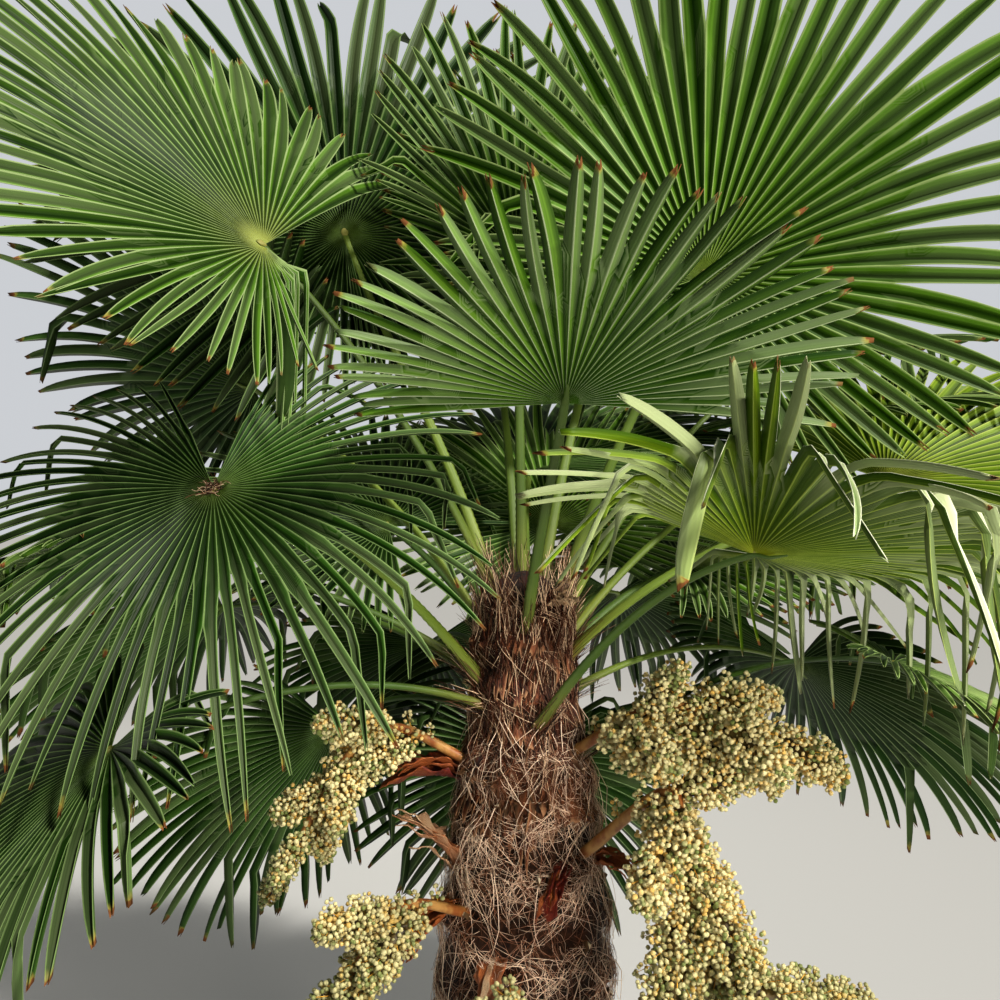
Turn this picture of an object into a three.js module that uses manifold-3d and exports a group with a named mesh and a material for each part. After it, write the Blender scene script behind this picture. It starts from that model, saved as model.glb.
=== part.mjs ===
// A windmill palm rooted in the ground: a fibre-clad trunk, a crown of fan fronds, drooping fruit
// bunches and dry bracts. Millimetres, +Z up, the origin at the middle of the flat cut at ground level.
import * as THREE from "three";
import { mergeVertices } from "three/addons/utils/BufferGeometryUtils.js";
import Module from "manifold-3d";

const wasm = await Module();
wasm.setup();

// Driving dimensions
const TRUNK_HEIGHT = 1330; // ground to the growing tip
const TRUNK_RADIUS = 128; // the fibre-clad trunk at half its height
const HEART = new THREE.Vector3(0, 0, 1250); // the point that the hubs' rise and reach are counted from
const BLADE_RADIUS = 540; // hub to the longest leaflet's tip
const BLADE_THICKNESS = 6;
const FOLD_HEIGHT = 14; // from a leaflet's rib up to the edge it shares with the next one
const FREE_WIDTH = 0.74; // a leaflet's widest free part, as a share of its width where they part
const PETIOLE_BASE_RADIUS = 10;
const PETIOLE_TIP_RADIUS = 6;
const STALK_BASE_RADIUS = 11; // a fruit bunch's stalk
const STALK_TIP_RADIUS = 6;
const FRUIT_RADIUS = 14; // one solid fruit stands for a cluster of real ones
const BRACT_THICKNESS = 4;
const ROOTING = 16; // how far inside the trunk's surface a petiole, stalk or bract starts
const GAP = 0.4; // left between neighbours that touch on the plant

// How finely the solids follow the plant
const LEAFLETS = 12;
const HIDDEN_LEAFLETS = 9; // on fronds behind and inside the crown
const RIB_STEPS = 12; // steps from the hub to a leaflet's tip
const SPLIT = 6; // the step where neighbouring leaflets part
const WIDEST = 10; // the step where a leaflet starts to close to its tip
const PETIOLE_SIDES = 5;
const PETIOLE_STEPS = 4;
const TRUNK_SIDES = 16;
const TRUNK_RINGS = 17;
const TRUNK_RELIEF = 5; // height of the old leaf bases
const BUNCH_BRANCHES = 8;
const BRACT_STEPS = 5;
const CLEAN = 0.02; // faces this close to flat are merged after a cut
const BUNCH_CLEAN = 3.5; // the same for a bunch's many small faces

const UP = new THREE.Vector3(0, 0, 1);
const degrees = THREE.MathUtils.degToRad;

const LEAF_GREEN = new THREE.MeshStandardMaterial({ color: 0x4d7a35, roughness: 0.55, metalness: 0 });
const FIBRE_BROWN = new THREE.MeshStandardMaterial({ color: 0x5e3a26, roughness: 0.95, metalness: 0 });
const FRUIT_CREAM = new THREE.MeshStandardMaterial({ color: 0xd8c981, roughness: 0.6, metalness: 0 });
const BRACT_RUST = new THREE.MeshStandardMaterial({ color: 0x8a4a26, roughness: 0.8, metalness: 0 });

// Small helpers

function toSolid(geometry) {
  geometry.deleteAttribute("normal");
  geometry.deleteAttribute("uv");
  const merged = mergeVertices(geometry, 1e-4);
  return new wasm.Manifold(
    new wasm.Mesh({
      numProp: 3,
      vertProperties: new Float32Array(merged.attributes.position.array),
      triVerts: new Uint32Array(merged.index.array),
    }),
  );
}

function toGeometry(solid) {
  const mesh = solid.getMesh();
  const geometry = new THREE.BufferGeometry();
  geometry.setAttribute("position", new THREE.BufferAttribute(new Float32Array(mesh.vertProperties), 3));
  geometry.setIndex(new THREE.BufferAttribute(new Uint32Array(mesh.triVerts), 1));
  geometry.computeVertexNormals();
  return geometry;
}

// The largest of the bodies that a cut leaves; loose scraps are dropped.
function largestBody(solid) {
  return solid.decompose().reduce((best, body) => (body.volume() > best.volume() ? body : best));
}

function joined(solids) {
  return solids.reduce((sum, solid) => sum.add(solid));
}

// What a piece keeps once its neighbours, each with its gap, are cut away.
function cutClear(solid, neighbours) {
  const box = solid.boundingBox();
  const near = neighbours.filter((other) => {
    const theirs = other.boundingBox();
    return box.min.every((low, k) => low < theirs.max[k] && theirs.min[k] < box.max[k]);
  });
  if (!near.length) return solid;
  return largestBody(solid.subtract(joined(near)).simplify(CLEAN));
}

// A direction from a bearing (degrees from +X towards +Y) and a tilt above the level.
function direction(bearing, tilt) {
  const level = Math.cos(degrees(tilt));
  return new THREE.Vector3(
    level * Math.cos(degrees(bearing)),
    level * Math.sin(degrees(bearing)),
    Math.sin(degrees(tilt)),
  );
}

// What is left of a vector across an axis, at unit length.
function across(vector, axis) {
  return vector.clone().addScaledVector(axis, -vector.dot(axis)).normalize();
}

// A repeatable number from 0 to 1 for each pair of whole numbers.
function chance(a, b) {
  const wave = Math.sin(a * 12.9898 + b * 78.233) * 43758.5453;
  return wave - Math.floor(wave);
}

// A tapering tube of flat sides along a curve, closed at both ends.
function limb(curve, startRadius, endRadius, sides, steps) {
  const geometry = new THREE.CylinderGeometry(endRadius, startRadius, 1, sides, steps);
  const frames = curve.computeFrenetFrames(steps, false);
  const position = geometry.attributes.position;
  for (let i = 0; i < position.count; i++) {
    const share = position.getY(i) + 0.5;
    const station = Math.round(share * steps);
    const point = curve.getPointAt(share)
      .addScaledVector(frames.normals[station], position.getX(i))
      .addScaledVector(frames.binormals[station], -position.getZ(i));
    position.setXYZ(i, point.x, point.y, point.z);
  }
  return toSolid(geometry);
}

// Trunk

const TRUNK_PROFILE = new THREE.SplineCurve(
  [
    [1.34, 0], [1.16, 0.05], [1.08, 0.2], [1.1, 0.42], [1.05, 0.56], [0.93, 0.65],
    [0.87, 0.72], [0.72, 0.79], [0.61, 0.86], [0.58, 0.93], [0.53, 0.965], [0.38, 0.985], [0.16, 1],
  ].map(([radius, height]) => new THREE.Vector2(radius * TRUNK_RADIUS, height * TRUNK_HEIGHT)),
);

function trunkRadius(height) {
  const points = TRUNK_PROFILE.getPoints(120);
  const above = points.findIndex((point) => point.y >= height);
  return points[above < 0 ? points.length - 1 : above].x;
}

// Where a petiole, stalk or bract starts, a little inside the trunk's surface.
function rootPoint(bearing, height) {
  return direction(bearing, 0).multiplyScalar(trunkRadius(height) - ROOTING).setZ(height);
}

// The old leaf bases stand out of the trunk in a steep spiral.
function baseRelief(angle, height) {
  const ridge = Math.cos(5 * angle + height / 26) * Math.cos(3 * angle - height / 41);
  return TRUNK_RELIEF * ridge * Math.min(1, height / 60);
}

function makeTrunk(growth) {
  const profile = [new THREE.Vector2(0, 0)];
  for (const point of TRUNK_PROFILE.getPoints(TRUNK_RINGS)) profile.push(point);
  profile.push(new THREE.Vector2(0, TRUNK_HEIGHT + TRUNK_RELIEF));
  const geometry = new THREE.LatheGeometry(profile, TRUNK_SIDES);
  geometry.rotateX(Math.PI / 2);
  const position = geometry.attributes.position;
  for (let i = 0; i < position.count; i++) {
    if (position.getZ(i) > TRUNK_HEIGHT - 1) position.setZ(i, position.getZ(i) + growth);
    const radius = Math.hypot(position.getX(i), position.getY(i));
    if (radius < 1) continue;
    const angle = Math.atan2(position.getY(i), position.getX(i));
    const share = (radius + baseRelief(angle, position.getZ(i)) + growth) / radius;
    position.setXY(i, position.getX(i) * share, position.getY(i) * share);
  }
  return toSolid(geometry);
}

// Fronds

// hub: where the fan starts. aim: bearing and tilt of the fan's longest leaflet. face: bearing and
// tilt that the upper side looks to. spread: the whole fan's angle. size: the share of the full
// blade radius. sag: how far leaflets arch down. cup: how far those beside the petiole stand up.
// Some fronds have more: beside, the length share of the leaflets next to the petiole; skew, the
// angle that the longest leaflets are off the axis by; fold, how sharply leaflets crease downward
// where they part; stand, the angle of a few that stay upright; foot, bearing and height of the base;
// leaflets, how many the solid has where that isn't the usual number.
const PLACED_FRONDS = {
  front_high: {
    hub: [50, -250, 1586], aim: [-88, 38], face: [92, 52], spread: 200, size: 0.78, sag: 0.1, cup: 0.05,
    beside: 0.72, skew: 55, foot: [-93, 1210],
  },
  right_high: {
    hub: [299, 20, 1824], aim: [-30, 62], face: [-106, -7], spread: 270, size: 1.26, sag: 0.2, cup: 0.1,
  },
  left_high: {
    hub: [-408, -100, 1845], aim: [222, 17], face: [-39, 38], spread: 256, size: 1.14, sag: 0.15, cup: 0.1,
    beside: 0.25, skew: -42, foot: [196, 1290],
  },
  left_back_high: {
    hub: [-351, 350, 1980], aim: [130, 74], face: [-80, 14], spread: 350, size: 1.28, sag: 0.2, cup: 0.1,
  },
  back_top: {
    hub: [154, 300, 1860], aim: [110, 82], face: [-90, 8], spread: 230, size: 1.05, sag: 0.2, cup: 0.1,
  },
  left_back_middle: {
    hub: [-519, 300, 1665], aim: [172, 27], face: [84, 46], spread: 230, size: 1.1, sag: 0.3, cup: 0.1,
  },
  left_front_low: {
    hub: [-457, -200, 1467], aim: [-84, -40], face: [-100, 50], spread: 320, size: 0.98, sag: 0.62,
    cup: 0.14, foot: [205, 1140],
  },
  right_front_middle: {
    hub: [290, -350, 1379], aim: [-39, 10], face: [102, 58], spread: 290, size: 1, sag: 0.2, cup: 0.2,
    fold: 0.36, stand: -67, foot: [-80, 1080],
  },
  right_middle: {
    hub: [594, 0, 1483], aim: [6, 22], face: [-120, 50], spread: 250, size: 0.95, sag: 0.4, cup: 0.15,
  },
  right_low: {
    hub: [560, -120, 1200], aim: [-8, -18], face: [172, 72], spread: 260, size: 0.72, sag: 0.6, cup: 0.1,
    foot: [-22, 1030],
  },
  top: {
    hub: [-10, 150, 1890], aim: [80, 82], face: [-86, 8], spread: 140, size: 0.95, sag: 0.2, cup: 0.1,
  },
  right_back_middle: {
    hub: [639, 350, 1610], aim: [32, 18], face: [212, 70], spread: 260, size: 1, sag: 0.45, cup: 0.15,
  },
  back_middle: {
    hub: [26, 450, 1520], aim: [60, 30], face: [-110, 50], spread: 260, size: 1, sag: 0.4, cup: 0.15,
  },
  inner_back: {
    hub: [60, 330, 1400], aim: [100, 50], face: [-85, 40], spread: 280, size: 0.8, sag: 0.25, cup: 0.1,
    beside: 0.7, leaflets: HIDDEN_LEAFLETS,
  },
  inner_left: {
    hub: [-250, 220, 1400], aim: [160, 32], face: [-65, 50], spread: 270, size: 0.8, sag: 0.3, cup: 0.1,
    beside: 0.65, leaflets: HIDDEN_LEAFLETS,
  },
  inner_right: {
    hub: [310, 250, 1330], aim: [30, 24], face: [-135, 60], spread: 270, size: 0.8, sag: 0.3, cup: 0.1,
    beside: 0.65, leaflets: HIDDEN_LEAFLETS,
  },
};

// The rest of the crown, in tiers from the upright fronds to the drooping ones. Each row of bearings
// is one tier; rise and reach place the hubs about the heart, and dip turns the fans down from there.
const TIERS = {
  upper: { bearings: [34, 96], rise: 44, reach: 700, dip: 20, sag: 0.4 },
  middle: { bearings: [58, 116, 180], rise: 13, reach: 720, dip: 22, sag: 0.5 },
  low: { bearings: [32, 70, 108, 152, 212], rise: -6, reach: 660, dip: 26, sag: 0.6 },
  drooping: { bearings: [88, 138], rise: -32, reach: 560, dip: 28, sag: 0.45 },
};
const STAGGER = 5; // degrees that every other frond of a tier is raised by, and the rest lowered by

function tierFronds() {
  const fronds = {};
  Object.entries(TIERS).forEach(([name, { bearings, rise, reach, dip, sag }], tier) => {
    bearings.forEach((bearing, place) => {
      const lift = rise + (place % 2 ? STAGGER : -STAGGER);
      const hub = HEART.clone().addScaledVector(direction(bearing, lift), reach);
      fronds[`${name}_${place + 1}`] = {
        hub: hub.toArray(),
        aim: [bearing, lift - dip],
        face: [bearing + 180, 90 - lift + dip],
        spread: 260,
        sag,
        cup: 0.15,
        size: 0.9 + 0.14 * chance(place, tier + 7),
        leaflets: HIDDEN_LEAFLETS,
      };
    });
  });
  return fronds;
}

// The fan's own axes: out along the longest leaflet, the upper side, and across to the left.
function fanAxes({ aim, face }) {
  const out = direction(...aim);
  const upper = across(direction(...face), out);
  return { out, upper, left: upper.clone().cross(out) };
}

// Leaflets are longest along the fan's axis and shortest beside the petiole.
function leafletLength(frond, angle) {
  const { size, spread, beside = 0.5, skew = 0 } = frond;
  const fall = ((angle - skew) / (spread / 2 + Math.abs(skew))) ** 2;
  return size * BLADE_RADIUS * (1 - (1 - beside) * fall) * (1 - 0.3 * standing(frond, angle));
}

// From 0 to 1, how far leaflets near one angle of the fan stand up instead of folding over.
function standing({ stand }, angle) {
  return stand === undefined ? 0 : Math.exp(-(((angle - stand) / 14) ** 2));
}

// Points along a rib: it leaves the hub at an angle from the fan's axis, stands up by the cup and
// arches down under its own weight, most where it runs level.
function ribPath(frond, angle, length) {
  const { out, upper, left } = fanAxes(frond);
  const stands = standing(frond, angle);
  const heading = out.clone().multiplyScalar(Math.cos(degrees(angle)))
    .addScaledVector(left, Math.sin(degrees(angle)))
    .addScaledVector(upper, frond.cup * (1 - Math.cos(degrees(angle))))
    .addScaledVector(upper, 0.3 * stands)
    .normalize();
  const step = length / RIB_STEPS;
  const points = [{ at: new THREE.Vector3(...frond.hub), heading: heading.clone() }];
  for (let i = 1; i <= RIB_STEPS; i++) {
    const arch = (frond.sag * 2 * i * step) / (RIB_STEPS * BLADE_RADIUS);
    const crease = i === SPLIT + 1 || i === SPLIT + 2 ? (frond.fold ?? 0) / 2 : 0;
    const bend = (arch + crease) * (1 - stands);
    const down = UP.clone().negate();
    heading.addScaledVector(down.addScaledVector(heading, -down.dot(heading)), bend)
      .addScaledVector(upper, -0.15 * bend)
      .normalize();
    const at = points[i - 1].at.clone().addScaledVector(heading, step);
    points.push({ at, heading: heading.clone() });
  }
  return { points, upper };
}

// One blade as a closed shell: leaflets joined from the hub to the split, free from there to the tip.
// Edges stand above the ribs, as in a folded fan.
function makeBlade(frond, growth) {
  const { leaflets = LEAFLETS } = frond;
  const pitch = frond.spread / leaflets;
  const half = BLADE_THICKNESS / 2 + growth;
  const vertices = [];
  const triangles = [];
  const addPair = (point, normal, lift) => {
    for (const side of [half, -half]) {
      const moved = point.clone().addScaledVector(normal, lift + side);
      vertices.push(moved.x, moved.y, moved.z);
    }
    return vertices.length / 3 - 2; // the upper vertex; the lower one is next
  };
  const station = (path, index, shift, lift) => {
    const { at, heading } = path.points[index];
    const normal = across(path.upper, heading);
    const sideways = normal.clone().cross(heading);
    return addPair(at.clone().addScaledVector(sideways, shift), normal, lift);
  };
  const face = (a, b, c) => {
    triangles.push(a, b, c, a + 1, c + 1, b + 1);
  };
  const hub = station(ribPath(frond, 0, 1), 0, 0, 0);
  const boundary = [];
  for (let i = 0; i <= leaflets; i++) {
    const angle = -frond.spread / 2 + i * pitch;
    const path = ribPath(frond, angle, leafletLength(frond, angle));
    const edge = i === 0 ? -growth : i === leaflets ? growth : 0;
    boundary.push(station(path, SPLIT, edge, FOLD_HEIGHT / 2));
  }
  const outline = [hub];
  for (let i = 0; i < leaflets; i++) {
    const angle = -frond.spread / 2 + (i + 0.5) * pitch;
    const length = leafletLength(frond, angle) + growth;
    const path = ribPath(frond, angle, length);
    const splitWidth = (length * SPLIT / RIB_STEPS) * Math.tan(degrees(pitch / 2));
    const free = FREE_WIDTH * splitWidth + growth;
    const ribSplit = station(path, SPLIT, 0, -FOLD_HEIGHT / 2);
    const low = station(path, WIDEST, -free, FOLD_HEIGHT / 3);
    const high = station(path, WIDEST, free, FOLD_HEIGHT / 3);
    const tip = station(path, RIB_STEPS, 0, 0);
    face(hub, boundary[i], ribSplit);
    face(hub, ribSplit, boundary[i + 1]);
    face(boundary[i], low, ribSplit);
    face(low, tip, ribSplit);
    face(ribSplit, tip, high);
    face(ribSplit, high, boundary[i + 1]);
    outline.push(boundary[i], low, tip, high);
  }
  outline.push(boundary[leaflets]);
  outline.forEach((from, i) => {
    const to = outline[(i + 1) % outline.length];
    triangles.push(to, from, from + 1, to, from + 1, to + 1);
  });
  const geometry = new THREE.BufferGeometry();
  geometry.setAttribute("position", new THREE.Float32BufferAttribute(vertices, 3));
  geometry.setIndex(triangles);
  return toSolid(geometry);
}

// The petiole rises steeply out of the fibre and bends over to the hub.
function petioleCurve(frond) {
  const hub = new THREE.Vector3(...frond.hub);
  const fromHeart = hub.clone().sub(HEART);
  const rise = Math.atan2(fromHeart.z, Math.hypot(hub.x, hub.y));
  const upright = THREE.MathUtils.clamp((rise + 0.6) / 1.8, 0, 1);
  const ownBearing = THREE.MathUtils.radToDeg(Math.atan2(hub.y, hub.x));
  const ownHeight = TRUNK_HEIGHT * (0.8 + 0.165 * upright);
  const foot = rootPoint(...(frond.foot ?? [ownBearing, ownHeight]));
  const span = foot.distanceTo(hub);
  const direct = hub.clone().sub(foot).normalize();
  const start = foot.clone().addScaledVector(direct.lerp(UP, 0.3).normalize(), 0.4 * span);
  const { out } = fanAxes(frond);
  const end = hub.clone().addScaledVector(fromHeart.normalize().lerp(out, 0.35).normalize(), -0.3 * span);
  return new THREE.CubicBezierCurve3(foot, start, end, hub);
}

function makePetiole(frond, growth) {
  return limb(
    petioleCurve(frond),
    PETIOLE_BASE_RADIUS + growth,
    PETIOLE_TIP_RADIUS + growth,
    PETIOLE_SIDES,
    PETIOLE_STEPS,
  );
}

// Fruit bunches

// foot: bearing and height where the stalk leaves the trunk. knots: the points that its arch then
// passes, to its end. spray: the length of the side branches. Some bunches have more: branches, how
// many they have; narrow, how much shorter the last branch is than the first, as a share of the spray.
const BUNCHES = {
  right_upper: {
    foot: [-28, 1040], knots: [[215, -115, 1135], [355, -145, 1100]], spray: 160, narrow: 0.2,
  },
  right_lower: {
    foot: [-40, 880], knots: [[215, -195, 1025], [220, -215, 905], [270, -235, 790], [410, -250, 690]],
    spray: 128, branches: 12, narrow: -0.8,
  },
  left_upper: { foot: [196, 1020], knots: [[-235, -30, 1080], [-385, -40, 870]], spray: 130 },
  left_lower: { foot: [222, 800], knots: [[-200, -150, 835], [-310, -200, 620]], spray: 130 },
  front_low: { foot: [-98, 700], knots: [[-40, -260, 730], [-70, -330, 560]], spray: 110, branches: 6 },
  back: { foot: [92, 990], knots: [[10, 240, 1100], [60, 440, 860]], spray: 150, branches: 7 },
};
const GOLDEN_TURN = 137.5; // degrees round the stalk from one branch to the next
const FIRST_TURN = 120; // where the first branch points, from straight up

// A stalk with side branches, each a fat spray of fruit with a single fruit standing out of it.
function makeBunch(bunch, number, growth) {
  const { foot, knots, spray, branches = BUNCH_BRANCHES, narrow = 0.45 } = bunch;
  const arch = [rootPoint(...foot), ...knots.map((knot) => new THREE.Vector3(...knot))];
  const curve = new THREE.CatmullRomCurve3(arch);
  const stalk = [STALK_BASE_RADIUS + growth, STALK_TIP_RADIUS + growth];
  const solids = [limb(curve, ...stalk, PETIOLE_SIDES, arch.length + 1)];
  for (let i = 0; i < branches; i++) {
    const along = i / (branches - 1);
    const share = 0.27 + 0.71 * along;
    const tangent = curve.getTangentAt(share);
    const turn = degrees(GOLDEN_TURN * i + 30 * number + FIRST_TURN);
    const outward = across(UP, tangent).applyAxisAngle(tangent, turn);
    const heading = tangent.clone()
      .addScaledVector(outward, along === 1 ? 0.1 : 0.9)
      .addScaledVector(UP, -0.35)
      .normalize();
    const reach = spray * (1.1 - narrow * along) * (1 - 0.4 * Math.max(0, heading.z));
    const width = 0.28 * reach;
    const middle = curve.getPointAt(share).addScaledVector(heading, 0.44 * reach);
    const core = new THREE.SphereGeometry(1, 5, 3);
    core.scale(width + growth, 0.58 * reach + growth, width + growth);
    core.applyQuaternion(new THREE.Quaternion().setFromUnitVectors(new THREE.Vector3(0, 1, 0), heading));
    core.translate(...middle.toArray());
    const side = across(outward, heading).applyAxisAngle(heading, chance(number, i) - 0.5);
    const fruit = new THREE.OctahedronGeometry(FRUIT_RADIUS + growth, 0);
    fruit.translate(...middle.addScaledVector(side, 0.8 * width).toArray());
    solids.push(toSolid(core), toSolid(fruit));
  }
  return joined(solids).simplify(BUNCH_CLEAN);
}

// Dry bracts: torn, curling sheaths beside the bunches' stalks. Each leaves the trunk at a bearing and
// height and rises by its lift, straight outwards or towards its aim, which is a bearing too.

const BRACTS = {
  left_upper: { bearing: 186, height: 985, lift: 26, length: 150, width: 24 },
  left_middle: { bearing: 202, height: 810, lift: 84, length: 175, width: 22 },
  left_low: { bearing: 206, height: 800, lift: -4, length: 120, width: 22 },
  front_middle: { bearing: -52, aim: -118, height: 880, lift: -14, length: 95, width: 19 },
  right_middle: { bearing: -24, height: 868, lift: 16, length: 110, width: 18 },
  front_low: { bearing: -112, height: 750, lift: -30, length: 95, width: 20 },
  crown_right: { bearing: -52, height: 1265, lift: 52, length: 75, width: 13 },
};

function makeBract({ bearing, aim = bearing, height, lift, length, width }, growth) {
  const foot = rootPoint(bearing, height);
  const middle = foot.clone().addScaledVector(direction(aim, lift), 0.55 * length);
  const tip = foot.clone().addScaledVector(direction(aim, lift - 30), length);
  const curve = new THREE.QuadraticBezierCurve3(foot, middle, tip);
  const size = [2 * (width + growth), length, BRACT_THICKNESS + 2 * growth];
  const geometry = new THREE.BoxGeometry(...size, 2, BRACT_STEPS, 1);
  const frames = curve.computeFrenetFrames(BRACT_STEPS, false);
  const position = geometry.attributes.position;
  const sideways = direction(aim - 90, 0);
  for (let i = 0; i < position.count; i++) {
    const share = position.getY(i) / length + 0.5;
    const tangent = frames.tangents[Math.round(share * BRACT_STEPS)];
    const normal = sideways.clone().cross(tangent).normalize();
    const taper = 0.35 + 0.65 * Math.sin(Math.PI * Math.min(1, share * 0.75 + 0.18));
    const x = position.getX(i) * taper * (share > 0.9 ? 0.3 : 1);
    const curl = 0.3 * Math.abs(x) + position.getZ(i);
    const point = curve.getPointAt(share).addScaledVector(sideways, x).addScaledVector(normal, curl);
    position.setXYZ(i, point.x, point.y, point.z);
  }
  return toSolid(geometry);
}

// Assembly: each piece is cut clear of the ones that it would meet

const palm = new THREE.Group();
palm.name = "windmill_palm";

function addNode(name, solid, material) {
  const mesh = new THREE.Mesh(toGeometry(solid.simplify(CLEAN)), material);
  mesh.name = name;
  palm.add(mesh);
}

addNode("trunk", makeTrunk(0), FIBRE_BROWN);
const trunkSpace = makeTrunk(GAP);

const fronds = { ...PLACED_FRONDS, ...tierFronds() };
const petioleSpaces = Object.values(fronds).map((frond) => makePetiole(frond, GAP));
const bladeSpaces = [];
Object.entries(fronds).forEach(([name, frond], i) => {
  const otherPetioles = petioleSpaces.filter((space, k) => k !== i);
  const petiole = cutClear(makePetiole(frond, 0), [trunkSpace, ...petioleSpaces.slice(0, i)]);
  const blade = cutClear(makeBlade(frond, 0), [trunkSpace, ...otherPetioles, ...bladeSpaces]);
  addNode(`frond_${name}`, largestBody(petiole.add(blade)), LEAF_GREEN);
  bladeSpaces.push(makeBlade(frond, GAP));
});

const frondSpaces = [...petioleSpaces, ...bladeSpaces];
const bractSpaces = [];
for (const [name, bract] of Object.entries(BRACTS)) {
  const solid = cutClear(makeBract(bract, 0), [trunkSpace, ...frondSpaces, ...bractSpaces]);
  addNode(`bract_${name}`, solid, BRACT_RUST);
  bractSpaces.push(makeBract(bract, GAP));
}

const bunchSpaces = [];
Object.entries(BUNCHES).forEach(([name, bunch], i) => {
  const neighbours = [trunkSpace, ...frondSpaces, ...bractSpaces, ...bunchSpaces];
  addNode(`bunch_${name}`, cutClear(makeBunch(bunch, i, 0), neighbours), FRUIT_CREAM);
  bunchSpaces.push(makeBunch(bunch, i, GAP));
});

export default palm;
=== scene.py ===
# The looks of a windmill palm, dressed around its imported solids. Metres, +Z up, in the solids' own
# frame. Tables of places and sizes are in millimetres and degrees, as in the part's source.
import bisect
import math
import random
from collections import namedtuple

import bmesh
import bpy
from mathutils import Matrix, Quaternion, Vector, noise


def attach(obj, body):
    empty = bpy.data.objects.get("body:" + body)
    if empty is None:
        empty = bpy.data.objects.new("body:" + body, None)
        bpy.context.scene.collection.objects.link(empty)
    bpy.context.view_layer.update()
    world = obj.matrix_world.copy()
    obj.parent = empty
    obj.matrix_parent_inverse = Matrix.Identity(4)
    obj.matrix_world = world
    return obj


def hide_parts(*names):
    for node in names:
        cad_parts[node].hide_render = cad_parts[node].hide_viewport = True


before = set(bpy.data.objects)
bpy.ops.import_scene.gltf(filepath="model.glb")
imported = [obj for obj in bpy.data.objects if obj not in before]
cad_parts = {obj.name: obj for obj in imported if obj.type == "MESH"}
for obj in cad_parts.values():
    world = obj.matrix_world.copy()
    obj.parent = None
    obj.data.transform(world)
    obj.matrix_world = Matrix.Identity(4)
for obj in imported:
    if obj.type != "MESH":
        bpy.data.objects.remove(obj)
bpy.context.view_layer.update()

MM = 0.001
UP = Vector((0, 0, 1))
SLANT = Vector((0.3, 0.2, 1))  # a lean that no stalk or twig runs along

# The plant's driving sizes, as in the solids
TRUNK_HEIGHT = 1330
TRUNK_RADIUS = 128
HEART = Vector((0, 0, 1250))
BLADE_RADIUS = 540
PETIOLE_BASE_RADIUS = 10
PETIOLE_TIP_RADIUS = 6
STALK_BASE_RADIUS = 11
STALK_TIP_RADIUS = 6
ROOTING = 16  # how deep in the fibre petioles, stalks and bracts start
GOLDEN_TURN = 137.5  # from each thing round a stem to the next

# Trunk and fibre
BARK_GRID = 130, 200  # faces round the trunk and up it
BARK_CROWN = 4  # how far the bark's middle rises above its rim
LAYER_HEIGHT = 84  # of each layer of matted fibre
LAYER_DEPTH = 26
STRAND_STEPS = 5
STRAND_TRIES = 7  # draws for a place where the fibre stands out
WRAPS = 30  # torn sheaths round the upper trunk
WRAP_GRID = 36, 5
WRAP_TOP = 1300
WRAP_RUN = 330  # how far down the trunk they are spread
WRAP_STAND = 10  # how far their lower edges stand off it
WRAP_THICKNESS = 0.8
STUBS = 44
STUB_START = 110  # the lowest one's height
STUB_PITCH = 21
COLLAR_STRANDS = 30

# Fans and petioles
LEAFLET_PITCH = 5.2  # degrees of the fan for each leaflet
RIB_STEPS = 20
SPLIT = 10  # the step near which neighbouring leaflets part
HANG_SPLIT = 4  # where leaflets part that hang down from close beside the hub
CREASE_STEPS = 3  # how many steps a folded fan bends over in
FOLD_SLOPE = 0.75  # how steeply each half of a leaflet rises from its rib
FREE_WIDTHS = [(0, 1), (0.15, 0.94), (0.5, 0.86), (0.76, 0.7), (0.92, 0.44), (1, 0.2)]
LEAF_THICKNESS = 0.9
VEIN_TURNS = 44  # radians of the wave that marks the veins across a leaflet
STAGGER = 5  # how far neighbours in a tier rise and dip
PETIOLE_STEP = 0.012  # metres from one tooth of a petiole to the next
UNDER_BLADE = 0.05  # metres of petiole that run on under the blade

# Fruit and bracts
SPRIG_LENGTHS = 22, 32, 42, 54, 68
SPRIG_KINDS = 3  # different sprigs of each length
STALK_SPRIGS = 26
BEAD_RADIUS = 4
BEAD_PITCH = 3.5  # of a sprig's length for each bead
TWIG_RADIUS = 3.2
TWIG_DENSITY = 0.4  # twigs for each millimetre of a spray
SPRAY_HALF_LENGTH = 0.58  # of its reach, as are the next three
SPRAY_HALF_WIDTH = 0.28
# The dark core that stands in for the shade inside each spray, as painted shade
CORE_HALF_LENGTH = 0.4
CORE_HALF_WIDTH = 0.11
BRACT_GRID = 8, 22
BRACT_THICKNESS = 1.2
BRACT_SHREDS = 6


# Small helpers


def direction(bearing, tilt):
    """A direction from a bearing (degrees from +X towards +Y) and a tilt above the level."""
    level = math.cos(math.radians(tilt))
    turn = math.radians(bearing)
    return Vector((level * math.cos(turn), level * math.sin(turn), math.sin(math.radians(tilt))))


def ring(turn, radius, height):
    """A point from the angle round the trunk's axis, the distance from it and the height."""
    return Vector((math.cos(turn) * radius, math.sin(turn) * radius, height))


def golden(i, more=0):
    """The angle of the i-th thing round a stem, in radians, with some more degrees."""
    return math.radians(GOLDEN_TURN * i + more)


def across(vector, axis):
    """What is left of a vector across an axis, at unit length."""
    return (vector - axis * vector.dot(axis)).normalized()


def chance(a, b):
    """A repeatable number from 0 to 1 for each pair of whole numbers, the same as in the solids.
    The second number tells one use from another."""
    wave = math.sin(a * 12.9898 + b * 78.233) * 43758.5453
    return wave - math.floor(wave)


def stepped(table, share):
    """The value at a share of the way along a table of (share, value) pairs."""
    for (low, before), (high, after) in zip(table, table[1:]):
        if share <= high:
            return before + (after - before) * (share - low) / (high - low)
    return table[-1][1]


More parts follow.
